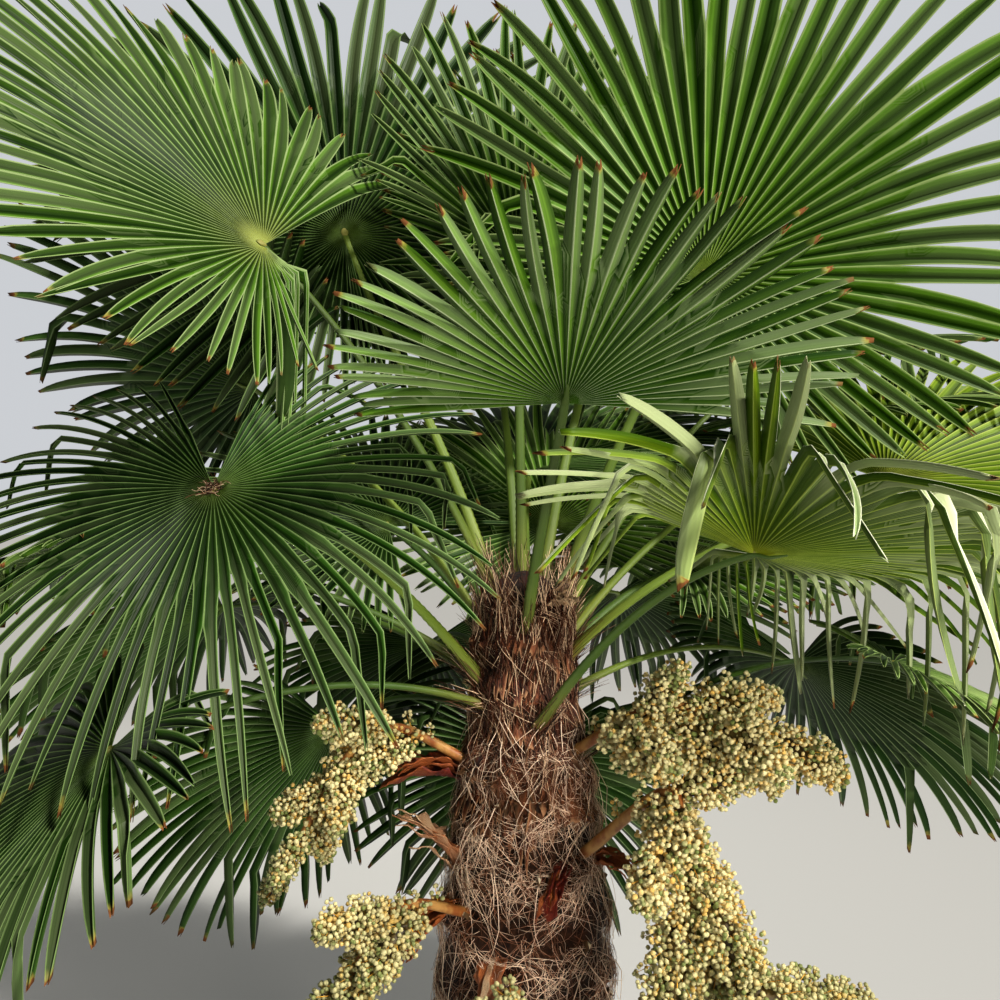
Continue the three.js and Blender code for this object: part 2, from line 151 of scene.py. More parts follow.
class Course:
    """A smooth line through space, walked by the share of its length."""

    def __init__(self, points):
        self.points = points
        self.reach = [0]
        for start, end in zip(points, points[1:]):
            self.reach.append(self.reach[-1] + (end - start).length)
        self.length = self.reach[-1]

    def at(self, share):
        goal = min(max(share, 0), 1) * self.length
        after = min(bisect.bisect_right(self.reach, goal), len(self.points) - 1)
        part = (goal - self.reach[after - 1]) / (self.reach[after] - self.reach[after - 1])
        return self.points[after - 1].lerp(self.points[after], part)

    def heading(self, share):
        return (self.at(share + 0.02) - self.at(share - 0.02)).normalized()


def in_metres(points):
    return Course([point * MM for point in points])


def bezier(points, steps):
    """A Bezier curve through its control points, by repeated halving between them."""
    course = []
    for i in range(steps + 1):
        level = points
        while len(level) > 1:
            level = [a.lerp(b, i / steps) for a, b in zip(level, level[1:])]
        course.append(level[0])
    return Course(course)


def hermite(start, leave, end, arrive, t):
    """A point between two others on the curve that leaves and arrives with the given slopes."""
    return (
        start * (2 * t**3 - 3 * t**2 + 1) + leave * (t**3 - 2 * t**2 + t)
        + end * (3 * t**2 - 2 * t**3) + arrive * (t**3 - t**2)
    )


def through(knots, steps):
    """A centripetal Catmull-Rom curve through the knots."""
    knots = [2 * knots[0] - knots[1], *knots, 2 * knots[-1] - knots[-2]]
    course = [knots[1]]
    for p0, p1, p2, p3 in zip(knots, knots[1:], knots[2:], knots[3:]):
        d0, d1, d2 = ((b - a).length ** 0.5 for a, b in ((p0, p1), (p1, p2), (p2, p3)))
        leave = ((p1 - p0) / d0 - (p2 - p0) / (d0 + d1) + (p2 - p1) / d1) * d1
        arrive = ((p2 - p1) / d1 - (p3 - p1) / (d1 + d2) + (p3 - p2) / d2) * d1
        course += [hermite(p1, leave, p2, arrive, i / steps) for i in range(1, steps + 1)]
    return Course(course)


# Meshes and pieces


def blank():
    """A mesh in the making, with the map and the shade that materials read."""
    bm = bmesh.new()
    bm.loops.layers.uv.new("UVMap")
    bm.verts.layers.float.new("shade")
    return bm


def as_mesh(bm, name):
    mesh = bpy.data.meshes.new(name)
    bm.to_mesh(mesh)
    bm.free()
    return mesh


def add_object(name, data):
    thing = bpy.data.objects.new(name, data)
    bpy.context.collection.objects.link(thing)
    return thing


def add_piece(name, mesh, materials, nodes=()):
    """Makes a mesh a smooth piece, and says which solids it stands for."""
    mesh.polygons.foreach_set("use_smooth", [True] * len(mesh.polygons))
    for material in materials:
        mesh.materials.append(material)
    piece = add_object(name, mesh)
    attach(piece, "root")
    if nodes:
        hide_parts(*nodes)
    return piece


def strip_shape(columns, rows):
    """A flat strip, -1 to 1 both ways, with a map from 0 to 1 across (U) and along (V)."""
    bm = blank()
    bmesh.ops.create_grid(bm, x_segments=columns, y_segments=rows, size=1, calc_uvs=True)
    mesh = as_mesh(bm, "strip")
    mesh["rows"] = rows
    return mesh


def row_of(point, rows):
    """The row of a strip that one of its points lies on."""
    return round((point.y + 1) / 2 * rows)


class Shape:
    """A growing mesh: copies of simple shapes, each moved point by point into its place."""

    def __init__(self):
        self.bm = blank()

    def add(self, mesh, place, shade=None, material=None):
        old_verts = len(self.bm.verts)
        old_faces = len(self.bm.faces)
        self.bm.from_mesh(mesh)
        layer = self.bm.verts.layers.float["shade"]
        self.bm.verts.ensure_lookup_table()
        for vert in self.bm.verts[old_verts:]:
            vert.co = place(vert.co)
            if shade is not None:
                vert[layer] = shade
        if material is not None:
            self.bm.faces.ensure_lookup_table()
            for face in self.bm.faces[old_faces:]:
                face.material_index = material

    def add_limb(self, mesh, course, size, lean, shade, material=None):
        """A round limb rolled up from a strip. size(share) gives its half width and half depth."""
        rows = mesh["rows"] + mesh["rows"] % 2  # a strip with an odd count takes its middle step double

        def place(point):
            row = row_of(point, rows)
            share = min(max((row - 1) / (rows - 2), 0), 1)
            heading = course.heading(share)
            upper = across(lean, heading)
            side = heading.cross(upper)
            width, depth = (0, 0) if row in (0, rows) else size(share)
            turn = math.pi * (point.x + 1)
            return course.at(share) - side * (width * math.cos(turn)) + upper * (depth * math.sin(turn))

        self.add(mesh, place, shade, material)

    def finish(self, name, materials, slot, nodes=(), weld=1e-6, thickness=0):
        """Closes the shape up and makes it a piece. A sheet is given its thickness in millimetres."""
        bmesh.ops.remove_doubles(self.bm, verts=self.bm.verts[:], dist=weld)
        if not thickness:
            bmesh.ops.recalc_face_normals(self.bm, faces=self.bm.faces[:])
        piece = add_piece(name, as_mesh(self.bm, name), materials, nodes)
        if thickness:
            skin = piece.modifiers.new("thickness", "SOLIDIFY")
            skin.thickness = thickness * MM
            skin.offset = 0
            skin.material_offset = 1
        return piece


LEAFLET_STRIP = strip_shape(2, RIB_STEPS)
STRAND_STRIP = strip_shape(3, STRAND_STEPS + 2)
LIMB_STRIP = strip_shape(8, 24)


# Material building blocks


def paint(colour):
    """A colour written as on screen, in the linear values that shaders use. A link stays a link."""
    if not isinstance(colour, str):
        return colour
    values = [int(colour[i:i + 2], 16) / 255 for i in (0, 2, 4)]
    return [v / 12.92 if v <= 0.04045 else ((v + 0.055) / 1.055) ** 2.4 for v in values] + [1]


class Wiring:
    """A node tree, with short ways to the nodes that are used most."""

    def __init__(self, tree):
        self.tree = tree

    def node(self, kind, values=(), **settings):
        """Adds a node, sets its options and fills its sockets, by name or place, with links or values."""
        node = self.tree.nodes.new(kind)
        for name, value in settings.items():
            setattr(node, name, value)
        for socket, value in dict(values).items():
            if isinstance(value, bpy.types.NodeSocket):
                self.tree.links.new(value, node.inputs[socket])
            else:
                node.inputs[socket].default_value = value
        return node

    def maths(self, operation, *values):
        return self.node("ShaderNodeMath", enumerate(values), operation=operation).outputs[0]

    def times(self, value, factor, *plus):
        """A product, and a third value added to it if there is one."""
        return self.maths("MULTIPLY_ADD" if plus else "MULTIPLY", value, factor, *plus)

    def ramp(self, value, low=0.35, high=0.65, start=0, end=1):
        """A soft step from start to end as the value goes from low to high."""
        values = {"Value": value, "From Min": low, "From Max": high, "To Min": start, "To Max": end}
        return self.node("ShaderNodeMapRange", values, interpolation_type="SMOOTHSTEP").outputs[0]

    def mix(self, factor, first, second):
        """A colour between two colours."""
        values = {0: factor, 6: paint(first), 7: paint(second)}
        return self.node("ShaderNodeMix", values, data_type="RGBA").outputs[2]

    def layers(self, colour, *over):
        """A colour with others laid over it, each by its mask."""
        for mask, coat in over:
            colour = self.mix(mask, colour, coat)
        return colour

    def cloud(self, coordinates, scale, detail=3, stretch=(1, 1, 1)):
        """A cloudy pattern, drawn out along an axis where its stretch is under 1."""
        mapped = self.node("ShaderNodeMapping", {"Vector": coordinates, "Scale": stretch}).outputs[0]
        values = {"Vector": mapped, "Scale": scale, "Detail": detail}
        return self.node("ShaderNodeTexNoise", values).outputs[0]

    def parts(self, vector):
        return self.node("ShaderNodeSeparateXYZ", {0: vector}).outputs

    def group(self, tree, *values):
        """Places a node group and gives its outputs."""
        return self.node("ShaderNodeGroup", enumerate(values), node_tree=tree).outputs


def make_group(name, inputs, fill):
    """A shader node group with named inputs and outputs, all plain values but Coordinates."""
    tree = bpy.data.node_groups.new(name, "ShaderNodeTree")
    for label in inputs:
        kind = "NodeSocketVector" if label == "Coordinates" else "NodeSocketFloat"
        tree.interface.new_socket(label, in_out="INPUT", socket_type=kind)
    wires = Wiring(tree)
    results = fill(wires, wires.node("NodeGroupInput").outputs)
    for label in results:
        tree.interface.new_socket(label, in_out="OUTPUT", socket_type="NodeSocketFloat")
    wires.node("NodeGroupOutput", results)
    return tree


def fill_leaflet_marks(wires, given):
    """Where a leaflet has its rib, veins, pale heart and dry tip, from its map, and the marks for painted
    shade: one half of each fold and the fold's valley.
    """
    over, along, _ = wires.parts(given["Coordinates"])
    middle = wires.maths("ABSOLUTE", wires.maths("SUBTRACT", over, 0.5))
    wave = wires.maths("SINE", wires.times(over, given["Vein turns"]))
    ragged = wires.times(given["Unevenness"], 0.05, along)
    # Painted shade: one half of each fold is marked to be darker, and the marks near the rib and near the
    # margin darken the fold's valleys.
    ramps = {
        "Rib": (middle, 0.02, 0.07, 1, 0), "Margin": (middle, 0.39, 0.47),
        "Near rib": (middle, 0.06, 0.34, 1, 0), "Near margin": (middle, 0.16, 0.44),
        "Far side": (over, 0.46, 0.54), "Heart": (along, 0, 0.3, 1, 0), "Hub": (along, 0, 0.1, 1, 0),
        "Free part": (along, 0.15, 0.75), "Tip": (ragged, 1, 1.012), "Yellowing": (ragged, 0.975, 1.015),
    }
    return {"Veins": wires.times(wave, 0.5, 0.5), **{name: wires.ramp(*row) for name, row in ramps.items()}}


def fill_streaks(wires, given):
    """Long fibrous streaks along a piece's map, with finer ones in them."""
    broad = wires.cloud(given["Coordinates"], 5, 4, (6, 0.8, 1))
    fine = wires.cloud(given["Coordinates"], 24, 3, (8, 0.5, 1))
    return {"Broad": wires.ramp(broad), "Fine": wires.ramp(fine)}


LEAFLET_MARKS = make_group("leaflet marks", ["Coordinates", "Vein turns", "Unevenness"], fill_leaflet_marks)
STREAKS = make_group("fibre streaks", ["Coordinates"], fill_streaks)


class Finish(Wiring):
    """A material with its object coordinates, its piece's map and its piece's shade at hand."""

    def __init__(self, name):
        self.material = bpy.data.materials.new(name)
        self.material.use_nodes = True
        super().__init__(self.material.node_tree)
        self.place = self.node("ShaderNodeTexCoord").outputs["Object"]
        self.map = self.node("ShaderNodeUVMap", uv_map="UVMap").outputs[0]
        self.shade = self.node("ShaderNodeAttribute", attribute_name="shade").outputs["Fac"]

    def done(self, colour, roughness, bump=(), specular=0.5):
        """The material. A bump is its height, its strength and its distance in metres."""
        shader = self.tree.nodes["Principled BSDF"]
        self.tree.links.new(colour, shader.inputs["Base Color"])
        self.tree.links.new(roughness, shader.inputs["Roughness"])
        shader.inputs["Specular IOR Level"].default_value = specular
        if bump:
            values = zip(("Height", "Strength", "Distance"), bump)
            normal = self.node("ShaderNodeBump", values).outputs[0]
            self.tree.links.new(normal, shader.inputs["Normal"])
        return self.material


def leaf_finish(name, under, light, deep, heart, rib, glow=0.5, bloom_and_sheen="a4b87c", bloom_and_sheen_strength=0.15):
    leaf = Finish(name)
    marks = leaf.group(LEAFLET_MARKS, leaf.map, VEIN_TURNS, leaf.cloud(leaf.place, 90, 2))
    patches = leaf.cloud(leaf.place, 9)
    # The valley's mark carries painted shade. The ridge's mark carries a pale line that is partly painted
    # highlight.
    painted_valley_shade, ridge = ("Near margin", "Rib") if under else ("Near rib", "Margin")
    tone = leaf.times(leaf.shade, 0.55, leaf.times(patches, 0.5))
    # Painted shade: one half of each fold is darkened, as if it were turned away from the light.
    lit = leaf.times(leaf.ramp(tone, 0.2, 0.85, 0.45, 1), leaf.times(marks["Far side"], -0.72, 1))
    # Painted shade: each fold's valley is darkened.
    lit = leaf.times(lit, leaf.times(marks[painted_valley_shade], -0.8, 1))
    lit = leaf.times(lit, leaf.times(marks["Veins"], -0.2, 1))
    own = leaf.maths("FRACT", leaf.times(leaf.shade, 7.3))
    dry = leaf.times(marks["Tip"], leaf.ramp(leaf.shade, 0.1, 0.5))
    colour = leaf.mix(lit, deep, leaf.mix(leaf.times(marks["Heart"], glow), light, heart))
    colour = leaf.layers(
        colour,
        (leaf.times(marks["Hub"], glow), heart),
        # A pale line along each fold's ridge: partly the rib's own paler colour, partly painted highlight.
        (leaf.times(marks[ridge], 0.75), rib),
        # A pale bloom on the free parts: partly the leaf's own wax, partly painted sheen.
        (leaf.times(marks["Free part"], leaf.ramp(own, 0.1, 0.9, 0, bloom_and_sheen_strength)), bloom_and_sheen),
        (leaf.times(marks["Yellowing"], leaf.ramp(leaf.shade, 0.2, 0.9)), "a39440"),
        (dry, "774a28"),
    )
    roughness = leaf.times(patches, 0.16, leaf.times(dry, 0.35, 0.36))
    return leaf.done(colour, roughness, (marks["Veins"], 0.35, 0.0006), 0.12)


def petiole_finish():
    stem = Finish("petiole")
    streaks = stem.group(STREAKS, stem.map)
    along = stem.parts(stem.map)[1]
    colour = stem.layers(
        "2c4a12",
        (stem.shade, "829a34"),
        (stem.ramp(along, 0.05, 0.3, 0.5, 0), "8c8c38"),
        (stem.times(streaks["Broad"], 0.3), "38541c"),
        (stem.ramp(along, 0, 0.1, 0.95, 0), "6b3f22"),
    )
    return stem.done(colour, stem.times(streaks["Fine"], 0.2, 0.4), (streaks["Fine"], 0.25, 0.0008))


def hair_finish(name, dark, middle, pale):
    hair = Finish(name)
    along = hair.cloud(hair.map, 6, 2)
    tone = hair.times(along, 0.3, hair.maths("SUBTRACT", hair.shade, 0.15))
    colour = hair.layers(dark, (hair.ramp(tone, 0.05, 0.5), middle), (hair.ramp(tone, 0.5, 0.95), pale))
    return hair.done(colour, hair.times(along, 0.2, 0.6))


def bark_finish():
    bark = Finish("matted bark")
    cords = bark.cloud(bark.place, 120, 5, (1, 1, 0.14))
    mat = bark.cloud(bark.place, 90, 6, (1, 1, 0.7))
    upper = bark.mix(bark.ramp(cords), "0c0402", "34160b")
    lower = bark.mix(bark.ramp(mat, 0.3, 0.7), "0e0503", "382013")
    colour = bark.mix(bark.ramp(bark.parts(bark.place)[2], 0.98, 1.12), lower, upper)
    return bark.done(colour, bark.times(mat, 0.15, 0.8), (cords, 0.8, 0.006))


def wrap_finish():
    wrap = Finish("old sheath")
    threads = wrap.cloud(wrap.map, 9, 5, (6, 0.5, 1))
    patches = wrap.cloud(wrap.place, 30)
    worn = wrap.times(wrap.shade, 0.4, wrap.times(patches, 0.8))
    rim = wrap.ramp(wrap.parts(wrap.map)[1], 0, 0.12, 0.5, 0)
    worn = wrap.ramp(worn, 0.45, 0.9, 0, 0.5)
    colour = wrap.layers("160603", (wrap.ramp(threads), "68341c"), (worn, "8a5434"), (rim, "c4946a"))
    return wrap.done(colour, wrap.times(threads, 0.2, 0.7), (threads, 0.9, 0.002))


def bract_finish():
    bract = Finish("dry bract")
    streaks = bract.group(STREAKS, bract.map)
    patches = bract.cloud(bract.place, 45)
    tone = bract.maths("ADD", bract.shade, bract.times(bract.parts(bract.map)[1], 0.3))
    tone = bract.times(patches, 0.5, tone)
    red = bract.mix(streaks["Fine"], "38090a", "7c2414")
    rust = bract.mix(streaks["Fine"], "8e3d16", "c4713a")
    tan = bract.mix(streaks["Fine"], "c08a5c", "ecd0a8")
    colour = bract.layers(red, (bract.ramp(tone, 0.4, 0.75), rust), (bract.ramp(tone, 1.05, 1.5), tan))
    return bract.done(colour, bract.times(streaks["Broad"], 0.25, 0.45), (streaks["Fine"], 0.6, 0.0015))


def fruit_finish():
    """Ripe and unripe fruit by their shades, and all of them darker and greener lower down the plant: partly
    unripe colour, partly painted shade.
    """
    fruit = Finish("pale fruit")
    patches = fruit.cloud(fruit.place, 30)
    speckle = fruit.cloud(fruit.place, 420, 2)
    tone = fruit.times(patches, 0.6, fruit.times(fruit.shade, 0.5))
    colour = fruit.layers(
        "727e40",
        (fruit.ramp(tone, 0.3, 0.55), "e0d49c"),
        (fruit.ramp(tone, 0.6, 0.85), "dcb058"),
        # Partly unripe colour, partly painted shade: darker and greener lower down.
        (fruit.ramp(fruit.parts(fruit.place)[2], 0.6, 1, 0.65, 0), "767a48"),
        (fruit.ramp(speckle, 0.6, 0.8, 0, 0.2), "b4ac60"),
    )
    return fruit.done(colour, fruit.times(speckle, 0.2, 0.45), (speckle, 0.2, 0.0006))


def stalk_finish(name, first, second):
    stalk = Finish(name)
    streaks = stalk.cloud(stalk.place, 55, 4, (1, 1, 0.4))
    colour = stalk.mix(stalk.ramp(streaks), first, second)
    return stalk.done(colour, stalk.times(streaks, 0.3, 0.4), (streaks, 0.3, 0.001))


# Camera, light and floor


def make_camera():
    camera = add_object("photo_camera", bpy.data.cameras.new("photo_camera"))
    camera.data.lens = 36
    camera.data.sensor_width = 36
    camera.location = (-0.041, -1.65, 1.45)
    camera.rotation_euler = (math.pi / 2, 0, 0)
    bpy.context.scene.camera = camera


def add_lamp(name, kind, place, target, power, colour, **size):
    lamp = add_object(name, bpy.data.lights.new(name, kind))
    for label, value in size.items():
        setattr(lamp.data, label, value)
    lamp.data.energy = power
    lamp.data.color = colour
    lamp.location = place
    lamp.visible_glossy = kind == "SUN"
    lamp.rotation_euler = (Vector(target) - Vector(place)).to_track_quat("-Z", "Y").to_euler()


def make_studio():
    wide, narrow = math.radians(120), math.radians(36)
    sunny, warm = (1, 0.96, 0.88), (1, 0.95, 0.88)
    add_lamp("key_light", "SUN", (2.3, -2.3, 4.8), (0, 0, 1.2), 4.1, sunny, angle=0.09)
    add_lamp("front_light", "AREA", (1.9, -2.9, 1.3), (0, 0, 0.95), 28, warm, size=0.5, spread=wide)
    add_lamp(
        "trunk_light", "AREA", (1, -2.4, 1.5), (0.04, 0, 0.85), 1.1, (1, 0.95, 0.86), size=0.3, spread=narrow
    )
    add_lamp("fill_light", "AREA", (-3.4, -3.2, 2.6), (0, 0, 1.2), 6, (0.95, 0.97, 1), size=3)
    add_lamp("back_light", "AREA", (-1, 3.8, 4), (0, 0, 1.6), 70, (1, 0.98, 0.9), size=2)
    world = bpy.data.worlds.new("studio")
    world.use_nodes = True
    wires = Wiring(world.node_tree)
    light = world.node_tree.nodes["Background"]
    light.inputs["Color"].default_value = (0.9, 0.95, 1, 1)
    light.inputs["Strength"].default_value = 0.09
    backdrop = wires.node("ShaderNodeBackground", {"Color": (0.6, 0.62, 0.65, 1)})
    seen = wires.node("ShaderNodeLightPath").outputs["Is Camera Ray"]
    blend = wires.node("ShaderNodeMixShader", {0: seen, 1: light.outputs[0], 2: backdrop.outputs[0]})
    world.node_tree.links.new(blend.outputs[0], world.node_tree.nodes["World Output"].inputs[0])
    bpy.context.scene.world = world
    bpy.context.scene.view_settings.view_transform = "Standard"


def make_floor():
    bm = bmesh.new()
    bmesh.ops.create_grid(bm, x_segments=1, y_segments=1, size=40)
    floor = add_object("floor", as_mesh(bm, "floor"))
    material = bpy.data.materials.new("floor")
    material.use_nodes = True
    shader = material.node_tree.nodes["Principled BSDF"]
    shader.inputs["Base Color"].default_value = (0.5, 0.5, 0.49, 1)
    shader.inputs["Roughness"].default_value = 0.9
    floor.data.materials.append(material)


# Trunk

TRUNK_KNOTS = [
    (1.34, 0), (1.16, 0.05), (1.08, 0.2), (1.1, 0.42), (1.05, 0.56), (0.93, 0.65), (0.87, 0.72),
    (0.72, 0.79), (0.61, 0.86), (0.58, 0.93), (0.53, 0.965), (0.38, 0.985), (0.16, 1),
]


def trunk_samples(count):
    """Radius and height up the trunk, on the solids' own spline through its knots."""
    knots = [Vector((radius * TRUNK_RADIUS, height * TRUNK_HEIGHT)) for radius, height in TRUNK_KNOTS]
    padded = [knots[0], *knots, knots[-1]]
    samples = []
    for i in range(count + 1):
        place = (len(knots) - 1) * i / count
        span = min(int(place), len(knots) - 2)
        p0, p1, p2, p3 = padded[span:span + 4]
        samples.append(hermite(p1, (p2 - p0) / 2, p2, (p3 - p1) / 2, place - span))
    return samples


TRUNK_SAMPLES = trunk_samples(120)
TRUNK_HEIGHTS = [sample.y for sample in TRUNK_SAMPLES]


def trunk_radius(height):
    above = min(bisect.bisect_left(TRUNK_HEIGHTS, height), len(TRUNK_HEIGHTS) - 1)
    below = max(above - 1, 0)
    step = TRUNK_HEIGHTS[above] - TRUNK_HEIGHTS[below]
    part = (height - TRUNK_HEIGHTS[below]) / step if step > 0 else 0
    return TRUNK_SAMPLES[below].x + (TRUNK_SAMPLES[above].x - TRUNK_SAMPLES[below].x) * part


def root_point(bearing, height):
    """Where a petiole, stalk or bract starts, a little inside the trunk's surface."""
    return direction(bearing, 0) * (trunk_radius(height) - ROOTING) + UP * height


def overlap(turn, height):
    """From 0 to 1, how far the matted fibre stands out: most just above each layer's ragged edge."""
    place = height / LAYER_HEIGHT + 0.7 * noise.noise(ring(turn, 1.4, height / 260))
    share = place - math.floor(place)
    return (1 - share) * min(1, share * 9)


def bark_point(turn, height, lift=0):
    """A point on the bark's relief, by the angle round the trunk and the height, in millimetres."""
    ridge = math.cos(5 * turn + height / 26) * math.cos(3 * turn - height / 41)
    spot = ring(turn, 2.2, height / 90)
    rough = 4 * ridge + 7 * noise.noise(spot * 1.7) + 3 * noise.noise(spot * 6)
    rough += LAYER_DEPTH * (overlap(turn, height) - 0.6)
    radius = trunk_radius(height)
    return ring(turn, radius + rough * min(1, height / 60) * min(1, radius / 80) + lift, height)


def make_bark(bark):
    columns, rows = BARK_GRID
    shape = Shape()

    def place(point):
        row = row_of(point, rows)
        if row == 0:
            return Vector((0, 0, 0))
        if row == rows:
            return Vector((0, 0, TRUNK_HEIGHT + BARK_CROWN)) * MM
        return bark_point(math.pi * (point.x + 1), TRUNK_HEIGHT * (row - 1) / (rows - 2)) * MM

    shape.add(strip_shape(columns, rows), place, 0.5)
    shape.finish("bark", [bark], "fibre", ["trunk"])


def strand_size(radius):
    """The size of a strand along it, thinner towards its tip."""

    def size(share):
        half = radius * MM * (1 - 0.6 * share)
        return half, half

    return size


def strand_path(turn, height, length, slant, curl, lift, bow):
    """A strand lying on the bark. It runs on straight where a layer ends, and so hangs free there."""
    points = []
    reach = 0
    for i in range(STRAND_STEPS + 1):
        t = i / STRAND_STEPS
        level = min(max(height, 3), TRUNK_HEIGHT - 20)
        spot = bark_point(turn, level, lift + bow * math.sin(math.pi * t))
        reach = max(math.hypot(spot.x, spot.y), reach - 1.5)
        points.append(ring(turn, reach, level))
        heading = slant + curl * (t - 0.3)
        turn += math.sin(heading) * length / STRAND_STEPS / max(60, trunk_radius(level))
        height -= math.cos(heading) * length / STRAND_STEPS
    return points


def combed_strand(draw, turn, height):
    """Upper fibre: close to the trunk, most of it running down."""
    slant = draw.uniform(-0.4, 0.4) + (0.9 if draw.random() < 0.3 else 0)
    length, curl = draw.uniform(45, 120), draw.uniform(-0.9, 0.9)
    path = strand_path(turn, height, length, slant, curl, draw.uniform(0, 5), draw.uniform(0, 7))
    # Painted light: paler where the fibre stands out, darker in the recesses between its layers.
    return path, draw.uniform(0.4, 0.9), draw.random() ** 1.7 * (0.3 + 0.9 * overlap(turn, height))


def tangled_strand(draw, turn, height):
    """Lower fibre: short curly hair that runs every way, with painted light: palest where it stands out,
    darker in the recesses.
    """
    length, slant, curl = draw.uniform(40, 110), draw.uniform(-1.5, 1.5), draw.uniform(-3, 3)
    lift, bow = draw.uniform(0, 6), draw.uniform(0, 15) * draw.random()
    path = strand_path(turn, height, length, slant, curl, lift, bow)
    return path, draw.uniform(0.35, 0.75), 0.8 * overlap(turn, height) + draw.uniform(-0.3, 0.5)


def loose_strand(draw, turn, height):
    """Long pale strands that stand off the trunk and hang in loops."""
    length, slant, curl = draw.uniform(80, 200), draw.uniform(-0.9, 0.9), draw.uniform(-1.8, 1.8)
    path = strand_path(turn, height, length, slant, curl, 3, draw.uniform(6, 22))
    return path, draw.uniform(0.55, 1.1), draw.uniform(0.7, 1)


def fringe_strand(draw, turn, height):
    """The torn upper edge of the fibre, standing up between the petioles."""
    length, drift, flare = draw.uniform(30, 95), draw.uniform(-0.5, 0.5), draw.uniform(-6, 24)
    points = []
    for i in range(STRAND_STEPS + 1):
        t = i / STRAND_STEPS
        points.append(bark_point(turn + drift * t, height, 1 + flare * t * t) + UP * (length * t))
    return points, draw.uniform(0.5, 1.2), draw.random()


def make_hair(name, hair, path, count, seed, low, high):
    """Many thin strands lying on the bark. path draws one strand from its own random numbers."""
    shape = Shape()
    draw = random.Random(seed)
    for _ in range(count):
        for _ in range(STRAND_TRIES):
            turn, height = draw.uniform(0, 2 * math.pi), draw.uniform(low, high)
            tuft = noise.noise(ring(turn, 3, height / 45))
            if overlap(turn, height) + 1.2 * tuft > draw.uniform(0.1, 0.9):
                break
        points, radius, shade = path(draw, turn, height)
        lean = direction(math.degrees(turn), 20)
        # Painted light: strands on the tufts are paler, those between them darker.
        shape.add_limb(STRAND_STRIP, in_metres(points), strand_size(radius), lean, shade + 0.6 * tuft)
    shape.finish(f"fibre_{name}", [hair], "fibre")


def make_wraps(wrap):
    """The matted sheaths of old leaf bases: frayed sheets that lap over each other down the upper
    trunk and stand off it at their ragged lower edges."""
    shape = Shape()
    strip = strip_shape(*WRAP_GRID)
    for i in range(WRAPS):
        middle = golden(i)
        top = WRAP_TOP - WRAP_RUN * (i + 0.5) / WRAPS
        length = 55 + 30 * chance(i, 61)
        half = math.radians(30 + 20 * chance(i, 62))
        slant = 0.9 * (chance(i, 63) - 0.5)

        def place(point):
            share = (1 - point.y) / 2
            spot = Vector((point.x * 2.2, i * 1.7, 0))
            torn = 0.5 * noise.noise(spot) + 0.4 * noise.noise(spot * 6) + 0.5 * noise.noise(spot * 17)
            down = share * length * (0.9 + torn)
            turn = middle + half * point.x * (1 - 0.3 * share) + slant * share
            ripple = 3 * noise.noise(Vector((point.x * 5, share * 2, i)))
            frayed = 3 * share * noise.noise(Vector((point.x * 40, 0, i)))
            edge = 8 * point.x ** 4
            stand = 1 + WRAP_STAND * share ** 2 + ripple + frayed - edge
            return bark_point(turn, max(top - down, 8), stand) * MM

        shape.add(strip, place, chance(i, 65))
    shape.finish("old_sheaths", [wrap, wrap], "fibre", weld=1e-7, thickness=WRAP_THICKNESS)


def add_collar(shape, course, draw):
    """Fibre that clasps the foot of a petiole and runs up it for a hand's breadth."""
    for _ in range(COLLAR_STRANDS):
        around = draw.uniform(0, 2 * math.pi)
        climb = draw.uniform(0.03, 0.1)
        swirl = draw.uniform(-1.2, 1.2)
        flare = draw.uniform(0, 1.6)
        points = []
        for i in range(STRAND_STEPS + 1):
            t = i / STRAND_STEPS
            share = (0.012 + climb * t) / course.length
            heading = course.heading(share)
            side = across(SLANT, heading)
            turn = Quaternion(heading, around + swirl * t)
            off = PETIOLE_BASE_RADIUS * MM * (1.2 + 0.5 * (1 - t) + flare * t * t)
            points.append(course.at(share) + turn @ side * off)
        size = strand_size(draw.uniform(0.5, 1))
        shape.add_limb(STRAND_STRIP, Course(points), size, Vector((0.31, 0.17, 1)), draw.random() ** 1.4)


def make_stubs(stub, cut):
    """The torn tips of old leaf bases, their pale faces just clear of the fibre."""
    shape = Shape()
    block = blank()
    bmesh.ops.create_cone(block, cap_ends=True, segments=3, radius1=1.3, radius2=1, depth=2)
    bmesh.ops.bevel(
        block, geom=block.edges[:], offset=0.06, segments=1, profile=0.5, affect="EDGES", material=-1
    )
    for face in block.faces:
        face.material_index = 1 if face.normal.z > 0.8 else 0
    mesh = as_mesh(block, "stub")
    for i in range(STUBS):
        turn = golden(i, 8)
        base = bark_point(turn, STUB_START + STUB_PITCH * i, 6)
        lean = direction(math.degrees(turn) + 60 * (chance(i, 8) - 0.5), 25 + 35 * chance(i, 9))
        side = UP.cross(lean).normalized()
        depth = side.cross(lean)
        spin = Quaternion(lean, 6 * chance(i, 7))
        width = 5 + 4 * chance(i, 3)

        def place(point):
            spot = spin @ (side * (point.x * width) + depth * (point.y * 4)) + lean * (point.z * 9)
            return (base + spot) * MM

        shape.add(mesh, place, chance(i, 5))
    shape.finish("leaf_base_stubs", [stub, cut], "fibre")


# Fronds

